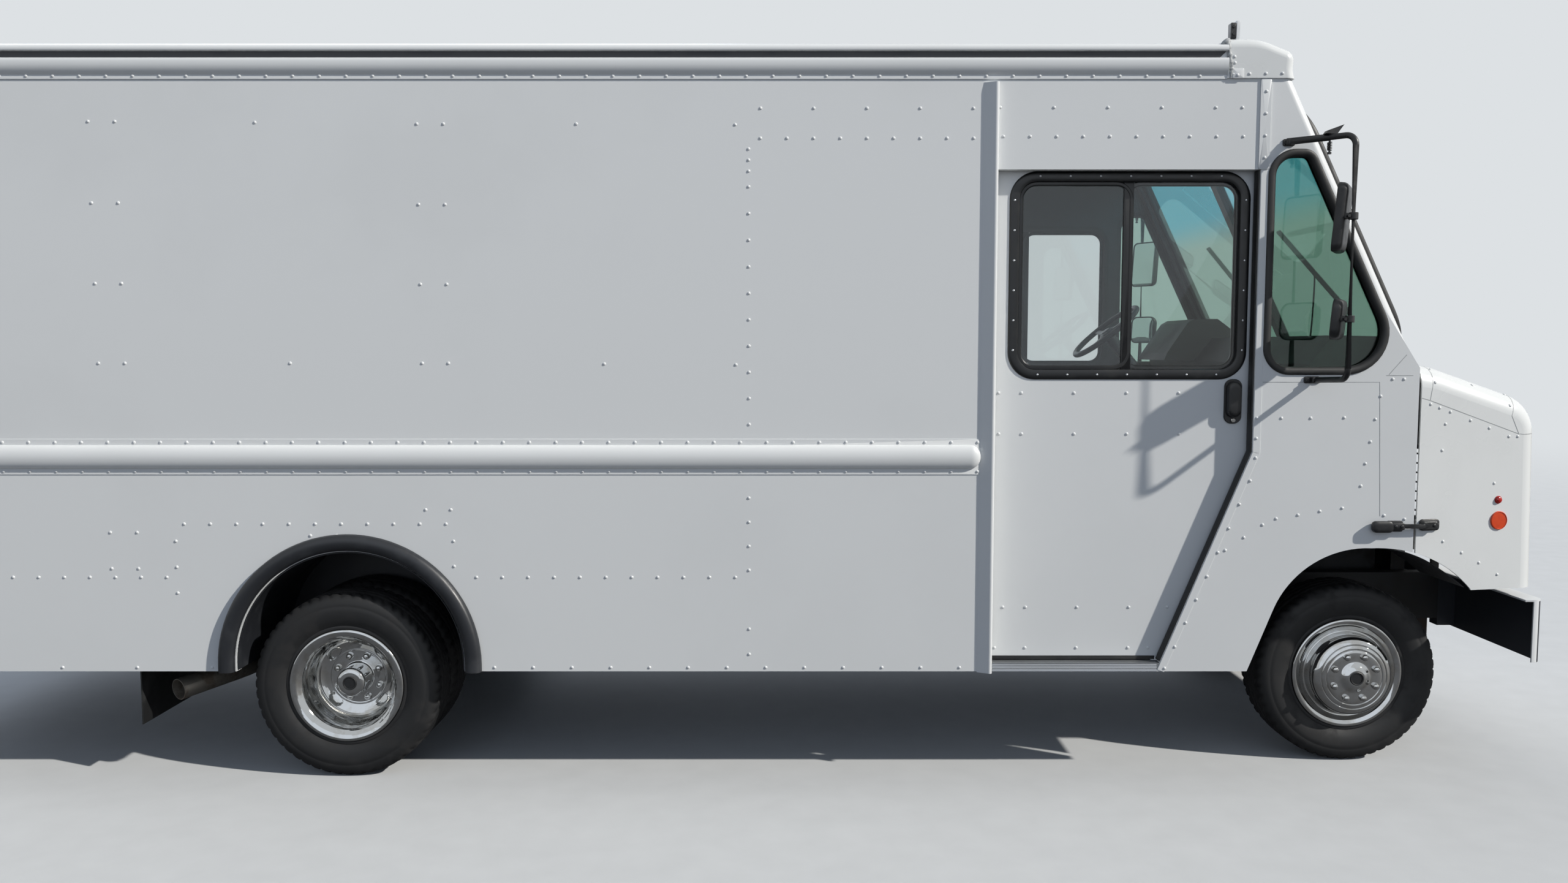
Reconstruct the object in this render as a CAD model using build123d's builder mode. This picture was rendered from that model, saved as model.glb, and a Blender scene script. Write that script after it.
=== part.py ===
from build123d import *
import math
import os

# A walk-in step van, as sold for conversion to a food truck. All sizes are in millimetres.
# +X is the front of the van, +Y its left side and +Z is up. The origin is on the ground, on the
# centreline, half way between the front bumper and the rear step.
# "Ahead" distances in the tables are measured forward from the rear axle.

os.makedirs("parts", exist_ok=True)

# Driving dimensions
wheelbase = 4521
body_width = 2362
body_rear = -2250
bumper_front = 5283
rear_step_depth = 110
sill_z = 494
header_z = 2652
rail_foot_z = 3025
cap_foot_z = 3029
wall_top_z = 3150
roof_edge_z = 3187
roof_crown_z = 3205
floor_top_z = 940
floor_thickness = 40
wall = 45
glass = 6
sheet = 12
tyre_radius = 412
rim_radius = 254
bead_radius = 248

half_width = body_width / 2
inner_half_width = half_width - wall
step_rear = body_rear - rear_step_depth
rear_axle_x = -(bumper_front + step_rear) / 2
front_axle_x = rear_axle_x + wheelbase
hub_z = tyre_radius
floor_foot_z = floor_top_z - floor_thickness
frame_rear = body_rear + wall

SIDES = (("right", -1), ("left", 1))


def fx(ahead):
    """World x of a place given as its distance ahead of the rear axle."""
    return rear_axle_x + ahead


def outline(points):
    """A table of (ahead, z) pairs as points of an XZ sketch."""
    return [(fx(ahead), z) for ahead, z in points]


def side_plane(side, inset=0):
    """The XZ plane of one body side, set in from it. Extruding side * t from it goes inwards."""
    return Plane.XZ.offset(-side * (half_width - inset))


def block(x_span, y_span, z_span, side=1, mode=Mode.ADD):
    """A block between ahead, y and z limits. With a side, y is the distance out on that side."""
    centre = (fx(sum(x_span) / 2), side * sum(y_span) / 2, sum(z_span) / 2)
    size = [abs(span[1] - span[0]) for span in (x_span, y_span, z_span)]
    with Locations(centre):
        Box(*size, mode=mode)


def profile(points, y_from, y_to, mode=Mode.ADD):
    """A prism whose section is a closed table of (ahead, z) pairs, between two y places."""
    with BuildSketch(Plane.XZ.offset(-y_from)) as section:
        with BuildLine():
            Polyline(outline(points), close=True)
        make_face()
    extrude(section.sketch, amount=y_from - y_to, mode=mode)


def save(builder, name):
    """Label a finished piece and write its STEP file."""
    builder.part.label = name
    export_step(builder.part, f"parts/{name}.step")


# Chassis: two rails joined by cross members, with a hinge upright for the hood on each
rail_y = (362, 432)
rail_z = (560, 790)
rail_ahead = (-2190, 5190)
cross_z = (690, 790)
cross_width = 80
cross_ahead = (-2100, -1200, -450, 700, 1700, 2700, 3500, 5030)
hood_pivot = (5190, 902)
hinge_half = 20
upright_foot = (5150, 5188)
upright_step_z = 850
hinge_y = (417, 432)
hinge_gap = 5
hinge_pin_radius = 8

with BuildPart() as chassis_frame:
    for name, side in SIDES:
        block(rail_ahead, rail_y, rail_z, side)
        block(upright_foot, hinge_y, (rail_z[1], upright_step_z), side)
        block((upright_foot[0], hood_pivot[0] + hinge_half), hinge_y,
              (upright_step_z, hood_pivot[1] + hinge_half), side)
        with BuildSketch(Plane.XZ.offset(-side * hinge_y[1])) as pin_bore:
            with Locations((fx(hood_pivot[0]), hood_pivot[1])):
                Circle(hinge_pin_radius + hinge_gap / 2)
        extrude(pin_bore.sketch, amount=side * (hinge_y[1] - hinge_y[0]), mode=Mode.SUBTRACT)
    for ahead in cross_ahead:
        block((ahead - cross_width / 2, ahead + cross_width / 2), (-rail_y[0], rail_y[0]), cross_z)
save(chassis_frame, "chassis_frame")

# Floors: the load floor with its wheel boxes, and the cab floor with a step well at each door
floor_split = 1750
cab_floor_end = 4000
pocket_half_width = 1080
bearer_z = (floor_foot_z - 80, floor_foot_z)
bearer_width = 60
cargo_bearers = (-2100, -1400, -700, 800, 1500)
cab_bearers = (2000, 2700)
wheel_box_ahead = (-480, 568)
wheel_box_y = (575, inner_half_width)
wheel_box_top = 1035

with BuildPart() as cargo_floor:
    block((frame_rear, floor_split), (-inner_half_width, inner_half_width), (floor_foot_z, floor_top_z))
    for ahead in cargo_bearers:
        block((ahead - bearer_width / 2, ahead + bearer_width / 2), (-inner_half_width, inner_half_width),
              bearer_z)
    for name, side in SIDES:
        block((wheel_box_ahead[0] - sheet, wheel_box_ahead[1] + sheet),
              (wheel_box_y[0] - sheet, wheel_box_y[1]), (floor_foot_z, wheel_box_top + sheet), side)
        block(wheel_box_ahead, wheel_box_y, (bearer_z[0], wheel_box_top), side, Mode.SUBTRACT)
        block((frame_rear, floor_split), rail_y, (rail_z[1], floor_foot_z), side)
save(cargo_floor, "cargo_floor")

# Door opening: a vertical front edge that slants back below a knee
pillar_ahead = (2775, 2838)
door_front = 3950
knee_z = 1454
threshold_ahead = 3574
threshold_z = 531
slant = (door_front - threshold_ahead) / (knee_z - threshold_z)
slant_foot = threshold_ahead - slant * (threshold_z - sill_z)
well_ahead = (2860, 3540)
well_y = (790, pocket_half_width)
well_floor_z = (500, 530)
well_step_z = (700, 712)
well_step_y = 940
sill_y = 1131
splash_ahead = (3930, 3950)
splash_y = (440, pocket_half_width)

with BuildPart() as cab_floor:
    block((floor_split, cab_floor_end), (-pocket_half_width, pocket_half_width), (floor_foot_z, floor_top_z))
    for ahead in cab_bearers:
        block((ahead - bearer_width / 2, ahead + bearer_width / 2), (-pocket_half_width, pocket_half_width),
              bearer_z)
    for name, side in SIDES:
        rear, front = well_ahead
        well_wall_z = (well_floor_z[0], floor_foot_z)
        block(well_ahead, well_y, (bearer_z[0], floor_top_z), side, Mode.SUBTRACT)
        block((rear - sheet, rear), well_y, well_wall_z, side)
        block((front, front + sheet), well_y, well_wall_z, side)
        block((rear - sheet, front + sheet), (well_y[0] - sheet, well_y[0]), well_wall_z, side)
        block((rear - sheet, front + sheet), (well_y[0] - sheet, sill_y), well_floor_z, side)
        block(well_ahead, (well_y[0] - sheet, well_step_y), well_step_z, side)
        block(splash_ahead, splash_y, (sill_z, floor_foot_z), side)
        block((floor_split, cab_floor_end), rail_y, (rail_z[1], floor_foot_z), side)
        profile([(pillar_ahead[1], sill_z), (slant_foot, sill_z), (threshold_ahead, threshold_z),
                 (pillar_ahead[1], threshold_z)], side * sill_y, side * half_width)
save(cab_floor, "cab_floor")

# Load body sides: one flat wall from the rear corner to the door pillar, over a round wheel arch
arch_ahead = 44
arch_z = 525
arch_radius = 497

for name, side in SIDES:
    with BuildPart() as side_panel:
        with BuildSketch(side_plane(side)):
            with BuildLine():
                Polyline(outline([(body_rear, sill_z), (pillar_ahead[1], sill_z),
                                  (pillar_ahead[1], wall_top_z), (body_rear, wall_top_z)]), close=True)
            make_face()
            with Locations((fx(arch_ahead), arch_z)):
                Circle(arch_radius, mode=Mode.SUBTRACT)
            with Locations((fx(arch_ahead), sill_z)):
                Rectangle(2 * arch_radius, 2 * (arch_z - sill_z), mode=Mode.SUBTRACT)
        extrude(amount=side * wall)
    save(side_panel, f"side_panel_{name}")

# Headers over the doors, notched under the front cap
cap_rear = 3795

with BuildPart() as door_headers:
    for name, side in SIDES:
        profile([(pillar_ahead[1], header_z), (door_front, header_z), (door_front, cap_foot_z),
                 (cap_rear, cap_foot_z), (cap_rear, wall_top_z), (pillar_ahead[1], wall_top_z)],
                side * half_width, side * inner_half_width)
save(door_headers, "door_headers")

# Cowl sides: from the door to the hood, with the cab's fixed window and most of the front arch
cowl_front = 4657
screen_top = (4079, cap_foot_z)
screen_foot = (4648, 1829)
pillar_round = 40
cowl_top = (cowl_front, 1815)
front_arch = {"heel": (3953, sill_z), "rear": (4064, 775), "rear_mid": (4210, 957), "crown": (4480, 1036),
              "front_mid": (4735, 992), "front": (4946, 846)}
arch_below = sill_z - 200
quarter_corners = [(3983, 1786), (3983, 2737), (4172, 2737), (4623, 1786)]
quarter_radii = (115, 115, 65, 180)
quarter_rebate = 15


def quarter_window():
    """The cab's fixed side window as a sketch: four corners, each with its own radius."""
    with BuildSketch(mode=Mode.PRIVATE) as window:
        with BuildLine():
            Polyline(outline(quarter_corners), close=True)
        make_face()
        for corner, radius in zip(quarter_corners, quarter_radii):
            place = Vector(fx(corner[0]), corner[1], 0)
            fillet(window.vertices().sort_by_distance(place)[0], radius)
        offset(amount=-quarter_rebate, mode=Mode.REPLACE)
    return window.sketch


def front_arch_opening():
    """The front wheel opening as a sketch, from the cowl's heel to the underside of the hood."""
    place = {key: (fx(ahead), z) for key, (ahead, z) in front_arch.items()}
    with BuildSketch(mode=Mode.PRIVATE) as opening:
        with BuildLine():
            Line(place["heel"], place["rear"])
            ThreePointArc(place["rear"], place["rear_mid"], place["crown"])
            ThreePointArc(place["crown"], place["front_mid"], place["front"])
            Polyline(place["front"], (place["front"][0], arch_below), (place["heel"][0], arch_below),
                     place["heel"])
        make_face()
    return opening.sketch


for name, side in SIDES:
    with BuildPart() as cowl_side:
        with BuildSketch(side_plane(side)):
            with BuildLine():
                Polyline(outline([(slant_foot, sill_z), (cowl_front, sill_z), cowl_top, screen_foot,
                                  screen_top, (door_front, cap_foot_z), (door_front, knee_z)]), close=True)
            make_face()
            add(front_arch_opening(), mode=Mode.SUBTRACT)
            add(quarter_window(), mode=Mode.SUBTRACT)
        extrude(amount=side * wall)
        pillar_middle = Vector(fx((screen_top[0] + screen_foot[0]) / 2), side * half_width,
                               (screen_top[1] + screen_foot[1]) / 2)
        fillet(cowl_side.edges().sort_by_distance(pillar_middle)[0], pillar_round)
    save(cowl_side, f"cowl_side_{name}")

# Roof: a crowned skin between the two roof rails
rail_shelf = 60
roof_half_width = half_width - rail_shelf

with BuildPart() as roof:
    with BuildSketch(Plane.YZ.offset(fx(body_rear))):
        with BuildLine():
            Polyline((roof_half_width, roof_edge_z), (roof_half_width, wall_top_z),
                     (-roof_half_width, wall_top_z), (-roof_half_width, roof_edge_z))
            ThreePointArc((-roof_half_width, roof_edge_z), (0, roof_crown_z), (roof_half_width, roof_edge_z))
        make_face()
    extrude(amount=cap_rear - body_rear)
save(roof, "roof")

# Roof rails, from the riveted foot over the bulge and the gutter to the roof.
# Each row is (out from the body side, z).
rail_foot = [(0, wall_top_z), (0, rail_foot_z), (5, rail_foot_z), (5, rail_foot_z + 18)]
rail_bulge = [(5, rail_foot_z + 18), (21, rail_foot_z + 46), (24, rail_foot_z + 76)]
rail_gutter = [(24, rail_foot_z + 76), (20, 3121), (4, 3124), (4, 3147), (20, 3150)]
rail_lip = [(20, 3150), (13, 3172), (-8, 3184)]
rail_back = [(-8, 3184), (-rail_shelf, roof_edge_z), (-rail_shelf, wall_top_z), (0, wall_top_z)]

with BuildPart() as roof_rails:
    for name, side in SIDES:
        foot, bulge, gutter, lip, back = [[(side * (half_width + out), z) for out, z in row] for row in
                                          (rail_foot, rail_bulge, rail_gutter, rail_lip, rail_back)]
        with BuildSketch(Plane.YZ.offset(fx(body_rear))):
            with BuildLine():
                Polyline(foot)
                ThreePointArc(*bulge)
                Polyline(gutter)
                ThreePointArc(*lip)
                Polyline(back)
            make_face()
        extrude(amount=cap_rear - body_rear)
save(roof_rails, "roof_rails")

# Front cap: a moulded shell that closes the roof and turns down to the windscreen
cap_skin = 40
cap_out = 9
cap_round = 40
cap_top_z = 3195
cap_brow = (3936, cap_top_z)
cap_nose = (4084, 3136)
cap_waist = (4079, 3066)
cap_rounds = ((cap_brow, 250), (cap_nose, 45), (cap_waist, 60))
cap_inner = [(cap_rear, cap_foot_z), (cap_rear, roof_edge_z - cap_skin), (3890, roof_edge_z - cap_skin),
             (4030, 3104), (4036, cap_foot_z)]
cap_half_width = half_width + cap_out

with BuildPart() as front_cap:
    with BuildSketch(Plane.XZ.offset(cap_half_width)) as cap_side:
        with BuildLine():
            Polyline(outline([(cap_rear, cap_foot_z), (cap_rear, cap_top_z), cap_brow, cap_nose, cap_waist,
                              (4088, cap_foot_z)]), close=True)
        make_face()
        for corner, radius in cap_rounds:
            fillet(cap_side.vertices().sort_by_distance(Vector(fx(corner[0]), corner[1]))[0], radius)
    extrude(amount=-2 * cap_half_width)
    rim = front_cap.edges().filter_by(
        lambda edge: abs(edge.center().Y) > cap_half_width - 1 and edge.center().Z > cap_foot_z + 1
        and edge.center().X > fx(cap_rear) + 1)
    fillet(rim, cap_round)
    profile(cap_inner, inner_half_width, -inner_half_width, Mode.SUBTRACT)
save(front_cap, "front_cap")

# Door pillars: a ramp rising forwards to a narrow flat, on the outside of each wall
pillar_ramp = 2825
pillar_out = 26
pillar_z = (490, 3012)

with BuildPart() as door_pillars:
    for name, side in SIDES:
        with BuildSketch(Plane.XY.offset(pillar_z[0])):
            with BuildLine():
                Polyline((fx(pillar_ahead[0]), side * half_width), (fx(pillar_ahead[1]), side * half_width),
                         (fx(pillar_ahead[1]), side * (half_width + pillar_out)),
                         (fx(pillar_ramp), side * (half_width + pillar_out)), close=True)
            make_face()
        extrude(amount=pillar_z[1] - pillar_z[0])
save(door_pillars, "door_pillars")

# Rub rails: a half-round bead between two riveted flanges
rub_z = (1357, 1509)
rub_bead = 102
rub_flange = 3
rub_out = 30
rub_front = 2772

with BuildPart() as rub_rails:
    for name, side in SIDES:
        middle = sum(rub_z) / 2
        face = side * (half_width + rub_flange)
        low, high = middle - rub_bead / 2, middle + rub_bead / 2
        with BuildSketch(Plane.YZ.offset(fx(body_rear))):
            with BuildLine():
                Polyline((face, high), (face, rub_z[1]), (side * half_width, rub_z[1]),
                         (side * half_width, rub_z[0]), (face, rub_z[0]), (face, low))
                ThreePointArc((face, low), (side * (half_width + rub_out), middle), (face, high))
            make_face()
        extrude(amount=rub_front - body_rear)
save(rub_rails, "rub_rails")

# Rear wheel flares: a rounded rubber lip round each arch
flare_radius = 573
flare_inner = 500
flare_out = 34
flare_bevel = 22

with BuildPart() as rear_flares:
    for name, side in SIDES:
        with BuildSketch(side_plane(side)):
            for radius, kind in ((flare_radius, Mode.ADD), (flare_inner, Mode.SUBTRACT)):
                with Locations((fx(arch_ahead), arch_z)):
                    Circle(radius, mode=kind)
                with Locations((fx(arch_ahead), sill_z)):
                    Rectangle(2 * radius, 2 * (arch_z - sill_z), mode=kind)
            with Locations((fx(arch_ahead), sill_z - flare_radius)):
                Rectangle(4 * flare_radius, 2 * flare_radius, mode=Mode.SUBTRACT)
        extrude(amount=-side * flare_out)
    bevelled = rear_flares.edges().filter_by(GeomType.CIRCLE).filter_by(
        lambda edge: edge.radius > flare_radius - 1 and abs(edge.center().Y) > half_width + 1)
    chamfer(bevelled, flare_bevel)
save(rear_flares, "rear_flares")

# Windscreen: a sloping two-pane frame between the cowl sides
frame_depth = 50
screen_slope = (screen_foot[0] - screen_top[0]) / (screen_top[1] - screen_foot[1])
pane_z = (1925, 2935)
pane_y = (32, 1085)
glass_inset = 22


def screen_ahead(z):
    """How far ahead the windscreen's outer face is at a height."""
    return screen_top[0] + screen_slope * (screen_top[1] - z)


with BuildPart() as windscreen_frame:
    profile([screen_top, screen_foot, (screen_foot[0] - frame_depth, screen_foot[1]),
             (screen_top[0] - frame_depth, screen_top[1])], inner_half_width, -inner_half_width)
    for name, side in SIDES:
        block((screen_top[0] - 200, screen_foot[0] + 200), pane_y, pane_z, side, Mode.SUBTRACT)
save(windscreen_frame, "windscreen_frame")

# Cab glass: two windscreen panes and the two fixed side windows
with BuildPart() as cab_glass:
    for name, side in SIDES:
        corners = [(screen_ahead(z) - glass_inset - depth, z)
                   for z, depth in ((pane_z[1], 0), (pane_z[0], 0), (pane_z[0], glass), (pane_z[1], glass))]
        profile(corners, side * pane_y[1], side * pane_y[0])
        with BuildSketch(side_plane(side, wall / 2)):
            add(quarter_window())
        extrude(amount=side * glass)
save(cab_glass, "cab_glass")

# Firewall: a riser behind the front wheels, a shelf over them and the wall behind the hood
riser_ahead = (cab_floor_end, 4030)
shelf_z = (1050, 1080)
firewall_ahead = (4610, 4655)
cab_span = (-inner_half_width, inner_half_width)

with BuildPart() as firewall:
    block(riser_ahead, cab_span, (floor_foot_z, shelf_z[1]))
    block((riser_ahead[0], firewall_ahead[1]), cab_span, shelf_z)
    block(firewall_ahead, cab_span, (shelf_z[0], screen_foot[1]))
save(firewall, "firewall")

# Steering: the rim's plane leans back by the rake, and the column runs down to the shelf
steering_y = 550
steering_ahead = 3772
steering_z = 1996
rake = math.radians(39.4)
rim_centre_radius = 210
rim_grip = 16
spoke_width = 34
spoke_depth = 12
column_radius = 30
hub_radius = 46
hub_depth = 40
column_gap = 5
column_length = 1400
wheel_plane = Plane(origin=(fx(steering_ahead), steering_y, steering_z), x_dir=(0, 1, 0),
                    z_dir=(math.sin(rake), 0, -math.cos(rake)))

with BuildPart() as steering_wheel:
    with BuildSketch(Plane(origin=wheel_plane.origin, x_dir=wheel_plane.x_dir,
                           z_dir=wheel_plane.z_dir.cross(wheel_plane.x_dir))):
        with Locations((rim_centre_radius, 0)):
            Circle(rim_grip)
    revolve(axis=Axis(wheel_plane.origin, wheel_plane.z_dir))
    with BuildSketch(wheel_plane):
        Circle(hub_radius)
    extrude(amount=hub_depth)
    with BuildSketch(wheel_plane):
        with PolarLocations(rim_centre_radius / 2, 3):
            Rectangle(rim_centre_radius, spoke_width)
    extrude(amount=spoke_depth)
save(steering_wheel, "steering_wheel")

# Dashboard: a shelf across the cab, a raised instrument hood at the driver's side and the column
dash_outline = [(4230, 1560), (4610, 1560), (4610, 1800), (4540, 1890), (4515, 1950), (4300, 1955),
                (4205, 1830)]
binnacle_outline = [(4205, 1830), (4040, 1835), (4055, 1875), (4165, 2040), (4200, 2060), (4330, 2062),
                    (4400, 2010), (4440, 1951), (4300, 1955)]
binnacle_y = (800, 330)
column_bracket = (4240, 4310)
bracket_half = 22

with BuildPart() as dashboard:
    profile(dash_outline, inner_half_width, -inner_half_width)
    profile(binnacle_outline, *binnacle_y)
    with BuildSketch(wheel_plane.offset(hub_depth + column_gap)):
        Circle(column_radius)
    extrude(amount=column_length)
    split(bisect_by=Plane.XY.offset(shelf_z[1]), keep=Keep.TOP)
    block(column_bracket, (steering_y - bracket_half, steering_y + bracket_half), (1400, dash_outline[0][1]))
save(dashboard, "dashboard")

# Driver's seat on a pedestal
seat_y = (800, 300)
seat_pedestal = ((3120, 3360), (430, 670), (floor_top_z, 1440))
seat_cushion = [(2960, 1440), (3450, 1440), (3450, 1560), (3060, 1560), (2990, 2180), (2890, 2180)]

with BuildPart() as driver_seat:
    block(*seat_pedestal)
    profile(seat_cushion, *seat_y)
save(driver_seat, "driver_seat")

# Engine as one plain block, and the radiator ahead of it
with BuildPart() as engine_block:
    block((4250, 4950), (-270, 270), (540, 1040))
save(engine_block, "engine_block")

with BuildPart() as radiator:
    block((4990, 5060), (-350, 350), (rail_z[1], 1450))
save(radiator, "radiator")

# Rear axle: tube, differential, propeller shaft with its gearbox, and leaf springs under the rails
gearbox = ((3650, 4250), (-160, 160), (330, 640))
shaft_radius = 45
axle_tube_radius = 55
diff_radius = 185
leaf_y = (rail_y[1], 500)
leaf_z = (464, 520)
leaf_reach = 640
hanger_half = 60
hanger_top_z = 650
spindle_radius = 45
rear_brake_y = 600
rear_spindle_y = 860
brake_radius = 190
brake_plate = 10


def axle_disc(radius, x_place, y_from, y_to, mode=Mode.ADD):
    """A cylinder along a wheel's axle between two y places."""
    with BuildSketch(Plane.XZ.offset(-y_from)) as section:
        with Locations((x_place, hub_z)):
            Circle(radius)
    extrude(section.sketch, amount=y_from - y_to, mode=mode)


with BuildPart() as rear_axle:
    axle_disc(axle_tube_radius, rear_axle_x, rear_brake_y, -rear_brake_y)
    axle_disc(spindle_radius, rear_axle_x, rear_spindle_y, -rear_spindle_y)
    with Locations((rear_axle_x, 0, hub_z)):
        Sphere(diff_radius)
    with BuildSketch(Plane.YZ.offset(rear_axle_x)):
        with Locations((0, hub_z)):
            Circle(shaft_radius)
    extrude(amount=gearbox[0][0])
    block(*gearbox)
    for name, side in SIDES:
        axle_disc(brake_radius, rear_axle_x, side * (rear_brake_y - brake_plate), side * rear_brake_y)
        block((-leaf_reach, leaf_reach), leaf_y, leaf_z, side)
        for end in (-leaf_reach, leaf_reach):
            block((end - hanger_half, end + hanger_half), leaf_y, (leaf_z[0], hanger_top_z), side)
save(rear_axle, "rear_axle")

# Front axle: a beam between two kingpin eyes, on leaf springs under the rails
kingpin_y = 720
kingpin_radius = 20
kingpin_play = 1
eye_radius = 38
eye_z = (367, 457)
beam_z = (350, 430)
beam_half = 45
beam_end_y = 640
neck_z = (378, 446)
neck_half = 25
front_leaf_z = (430, 480)
front_leaf_reach = 560

with BuildPart() as front_axle:
    block((wheelbase - beam_half, wheelbase + beam_half), (-beam_end_y, beam_end_y), beam_z)
    for name, side in SIDES:
        block((wheelbase - neck_half, wheelbase + neck_half), (beam_end_y - 10, kingpin_y), neck_z, side)
        with BuildSketch(Plane.XY.offset(eye_z[0])):
            with Locations((front_axle_x, side * kingpin_y)):
                Circle(eye_radius)
        extrude(amount=eye_z[1] - eye_z[0])
        block((wheelbase - front_leaf_reach, wheelbase + front_leaf_reach), rail_y, front_leaf_z, side)
        for end in (-front_leaf_reach, front_leaf_reach):
            block((wheelbase + end - hanger_half, wheelbase + end + hanger_half), rail_y,
                  (front_leaf_z[0], rail_z[0]), side)
    with BuildSketch(Plane.XY.offset(eye_z[0])):
        with Locations((front_axle_x, kingpin_y), (front_axle_x, -kingpin_y)):
            Circle(kingpin_radius + kingpin_play)
    extrude(amount=eye_z[1] - eye_z[0], mode=Mode.SUBTRACT)
save(front_axle, "front_axle")

# Knuckles: a pin between two arms, joined outboard by a yoke that carries the stub axle
arm_gap = 3
arm_height = 26
yoke_out = (62, 88)
stub_radius = 36
stub_out = 152
front_brake_radius = 175
arm_feet = (eye_z[0] - arm_gap - arm_height, eye_z[1] + arm_gap)

for name, side in SIDES:
    with BuildPart() as knuckle:
        knuckle_z = (arm_feet[0], arm_feet[1] + arm_height)
        with BuildSketch(Plane.XY.offset(knuckle_z[0])):
            with Locations((front_axle_x, side * kingpin_y)):
                Circle(kingpin_radius)
        extrude(amount=knuckle_z[1] - knuckle_z[0])
        for foot in arm_feet:
            with BuildSketch(Plane.XY.offset(foot)):
                with Locations((front_axle_x, side * kingpin_y)):
                    Circle(eye_radius)
                with Locations((front_axle_x, side * (kingpin_y + yoke_out[1] / 2))):
                    Rectangle(2 * eye_radius, yoke_out[1])
            extrude(amount=arm_height)
        block((wheelbase - eye_radius, wheelbase + eye_radius),
              (kingpin_y + yoke_out[0], kingpin_y + yoke_out[1]), knuckle_z, side)
        plate_y = kingpin_y + yoke_out[1]
        axle_disc(front_brake_radius, front_axle_x, side * plate_y, side * (plate_y + brake_plate))
        axle_disc(stub_radius, front_axle_x, side * plate_y, side * (kingpin_y + stub_out))
    save(knuckle, f"knuckle_{name}")

# Tyres and rims. Sections are rows of (radius, out from the wheel's centre plane).
front_wheel_y = 800
outer_wheel_y = 1009.5
inner_wheel_y = 739.5
twin_step = inner_wheel_y - outer_wheel_y
half_tyre = [(bead_radius, 104), (rim_radius, 104), (300, 119), (345, 122.5), (385, 116), (402, 104),
             (tyre_radius, 70)]
half_barrel = [(236, 114), (rim_radius, 114), (rim_radius, 104), (247.7, 104)]
front_disc = [(0, 210), (30, 208), (46, 196), (118, 192), (135, 191), (152, 178), (176, 148), (197, 106),
              (240, 108), (240, 92), (185, 92), (164, 136), (140, 164), (118, 172), (90, 172), (90, 28),
              (37.5, 28), (37.5, 80), (0, 80)]
twin_disc = [(240, 92), (236, 110), (214, 106), (198, 84), (194, 0), (176, -24), (127, -46), (68, -46),
             (66, 54), (54, 66), (0, 70), (0, -140), (46.5, -140), (46.5, -401), (190, -401), (190, -300),
             (98, -290), (98, -160), (210, -158), (238, -166), (238, -152), (210, -140), (98, -130),
             (98, -64), (130, -60), (184, -38), (206, -8), (210, 84)]
lug_circle = 205
lug_count = 8
lug_radius = 15
hand_hole_count = 4
front_hole_circle = 344
front_hole_radius = 17
rear_hole_circle = 300
rear_hole_radius = 22


def ring(points, x_place, wheel_y, side):
    """Revolve a closed (radius, out) section about a wheel's axle."""
    with BuildSketch(Plane(origin=(x_place, 0, hub_z), x_dir=(1, 0, 0), z_dir=(0, 0, 1))) as section:
        with BuildLine():
            Polyline([(radius, side * (wheel_y + out)) for radius, out in points], close=True)
        make_face()
    revolve(section.sketch, axis=Axis((x_place, 0, hub_z), (0, 1, 0)))


def both_halves(points):
    """A section that is the same on both sides of its centre plane."""
    return points + [(radius, -out) for radius, out in reversed(points)]


def circle_of(count, circle, radius, x_place, y_from, y_to, mode):
    """Pins or round holes on a circle about a wheel's axle, between two y places."""
    with BuildSketch(Plane.XZ.offset(-y_from)) as section:
        with Locations((x_place, hub_z)):
            with PolarLocations(circle / 2, count, start_angle=180 / count):
                Circle(radius)
    extrude(section.sketch, amount=y_from - y_to, mode=mode)


for name, side in SIDES:
    with BuildPart() as tyre:
        ring(both_halves(half_tyre), front_axle_x, front_wheel_y, side)
    save(tyre, f"tyre_front_{name}")

    with BuildPart() as tyres:
        for wheel_y in (outer_wheel_y, inner_wheel_y):
            ring(both_halves(half_tyre), rear_axle_x, wheel_y, side)
    save(tyres, f"tyres_rear_{name}")

    with BuildPart() as front_rim:
        ring(both_halves(half_barrel), front_axle_x, front_wheel_y, side)
        ring(front_disc, front_axle_x, front_wheel_y, side)
        circle_of(hand_hole_count, front_hole_circle, front_hole_radius, front_axle_x,
                  side * (front_wheel_y + 60), side * (front_wheel_y + 190), Mode.SUBTRACT)
        circle_of(lug_count, lug_circle, lug_radius, front_axle_x, side * (front_wheel_y + 180),
                  side * (front_wheel_y + 206), Mode.ADD)
    save(front_rim, f"rim_front_{name}")

    with BuildPart() as rear_rims:
        for wheel_y in (outer_wheel_y, inner_wheel_y):
            ring(both_halves(half_barrel), rear_axle_x, wheel_y, side)
        ring(twin_disc, rear_axle_x, outer_wheel_y, side)
        circle_of(hand_hole_count, rear_hole_circle, rear_hole_radius, rear_axle_x,
                  side * (outer_wheel_y - 70), side * (outer_wheel_y - 20), Mode.SUBTRACT)
        circle_of(lug_count, lug_circle, lug_radius, rear_axle_x, side * (outer_wheel_y - 50),
                  side * (outer_wheel_y - 26), Mode.ADD)
    save(rear_rims, f"rims_rear_{name}")

# Hood: a moulded shell, open below and behind, whose sides taper inwards to the front
hood_rear = 4670
hood_reach = 5300
hood_top = [(hood_rear, 1828), (4750, 1815)]
hood_corner = (5246, 1656)
hood_front_foot = (5268, 842)
hood_taper = math.tan(math.radians(10.5))
hood_skin = 10
hood_round = 95
hood_corner_round = 180
hood_top_round = 300
grille_z = (1000, 1400)
grille_y = 470
lamp_y = (560, 800)
lamp_z = (1090, 1260)
signal_z = (1015, 1070)


def hood_front_at(z):
    """How far ahead the hood's front face is at a height."""
    run = (hood_front_foot[1] - z) / (hood_corner[1] - hood_front_foot[1])
    return hood_front_foot[0] + (hood_front_foot[0] - hood_corner[0]) * run


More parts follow.
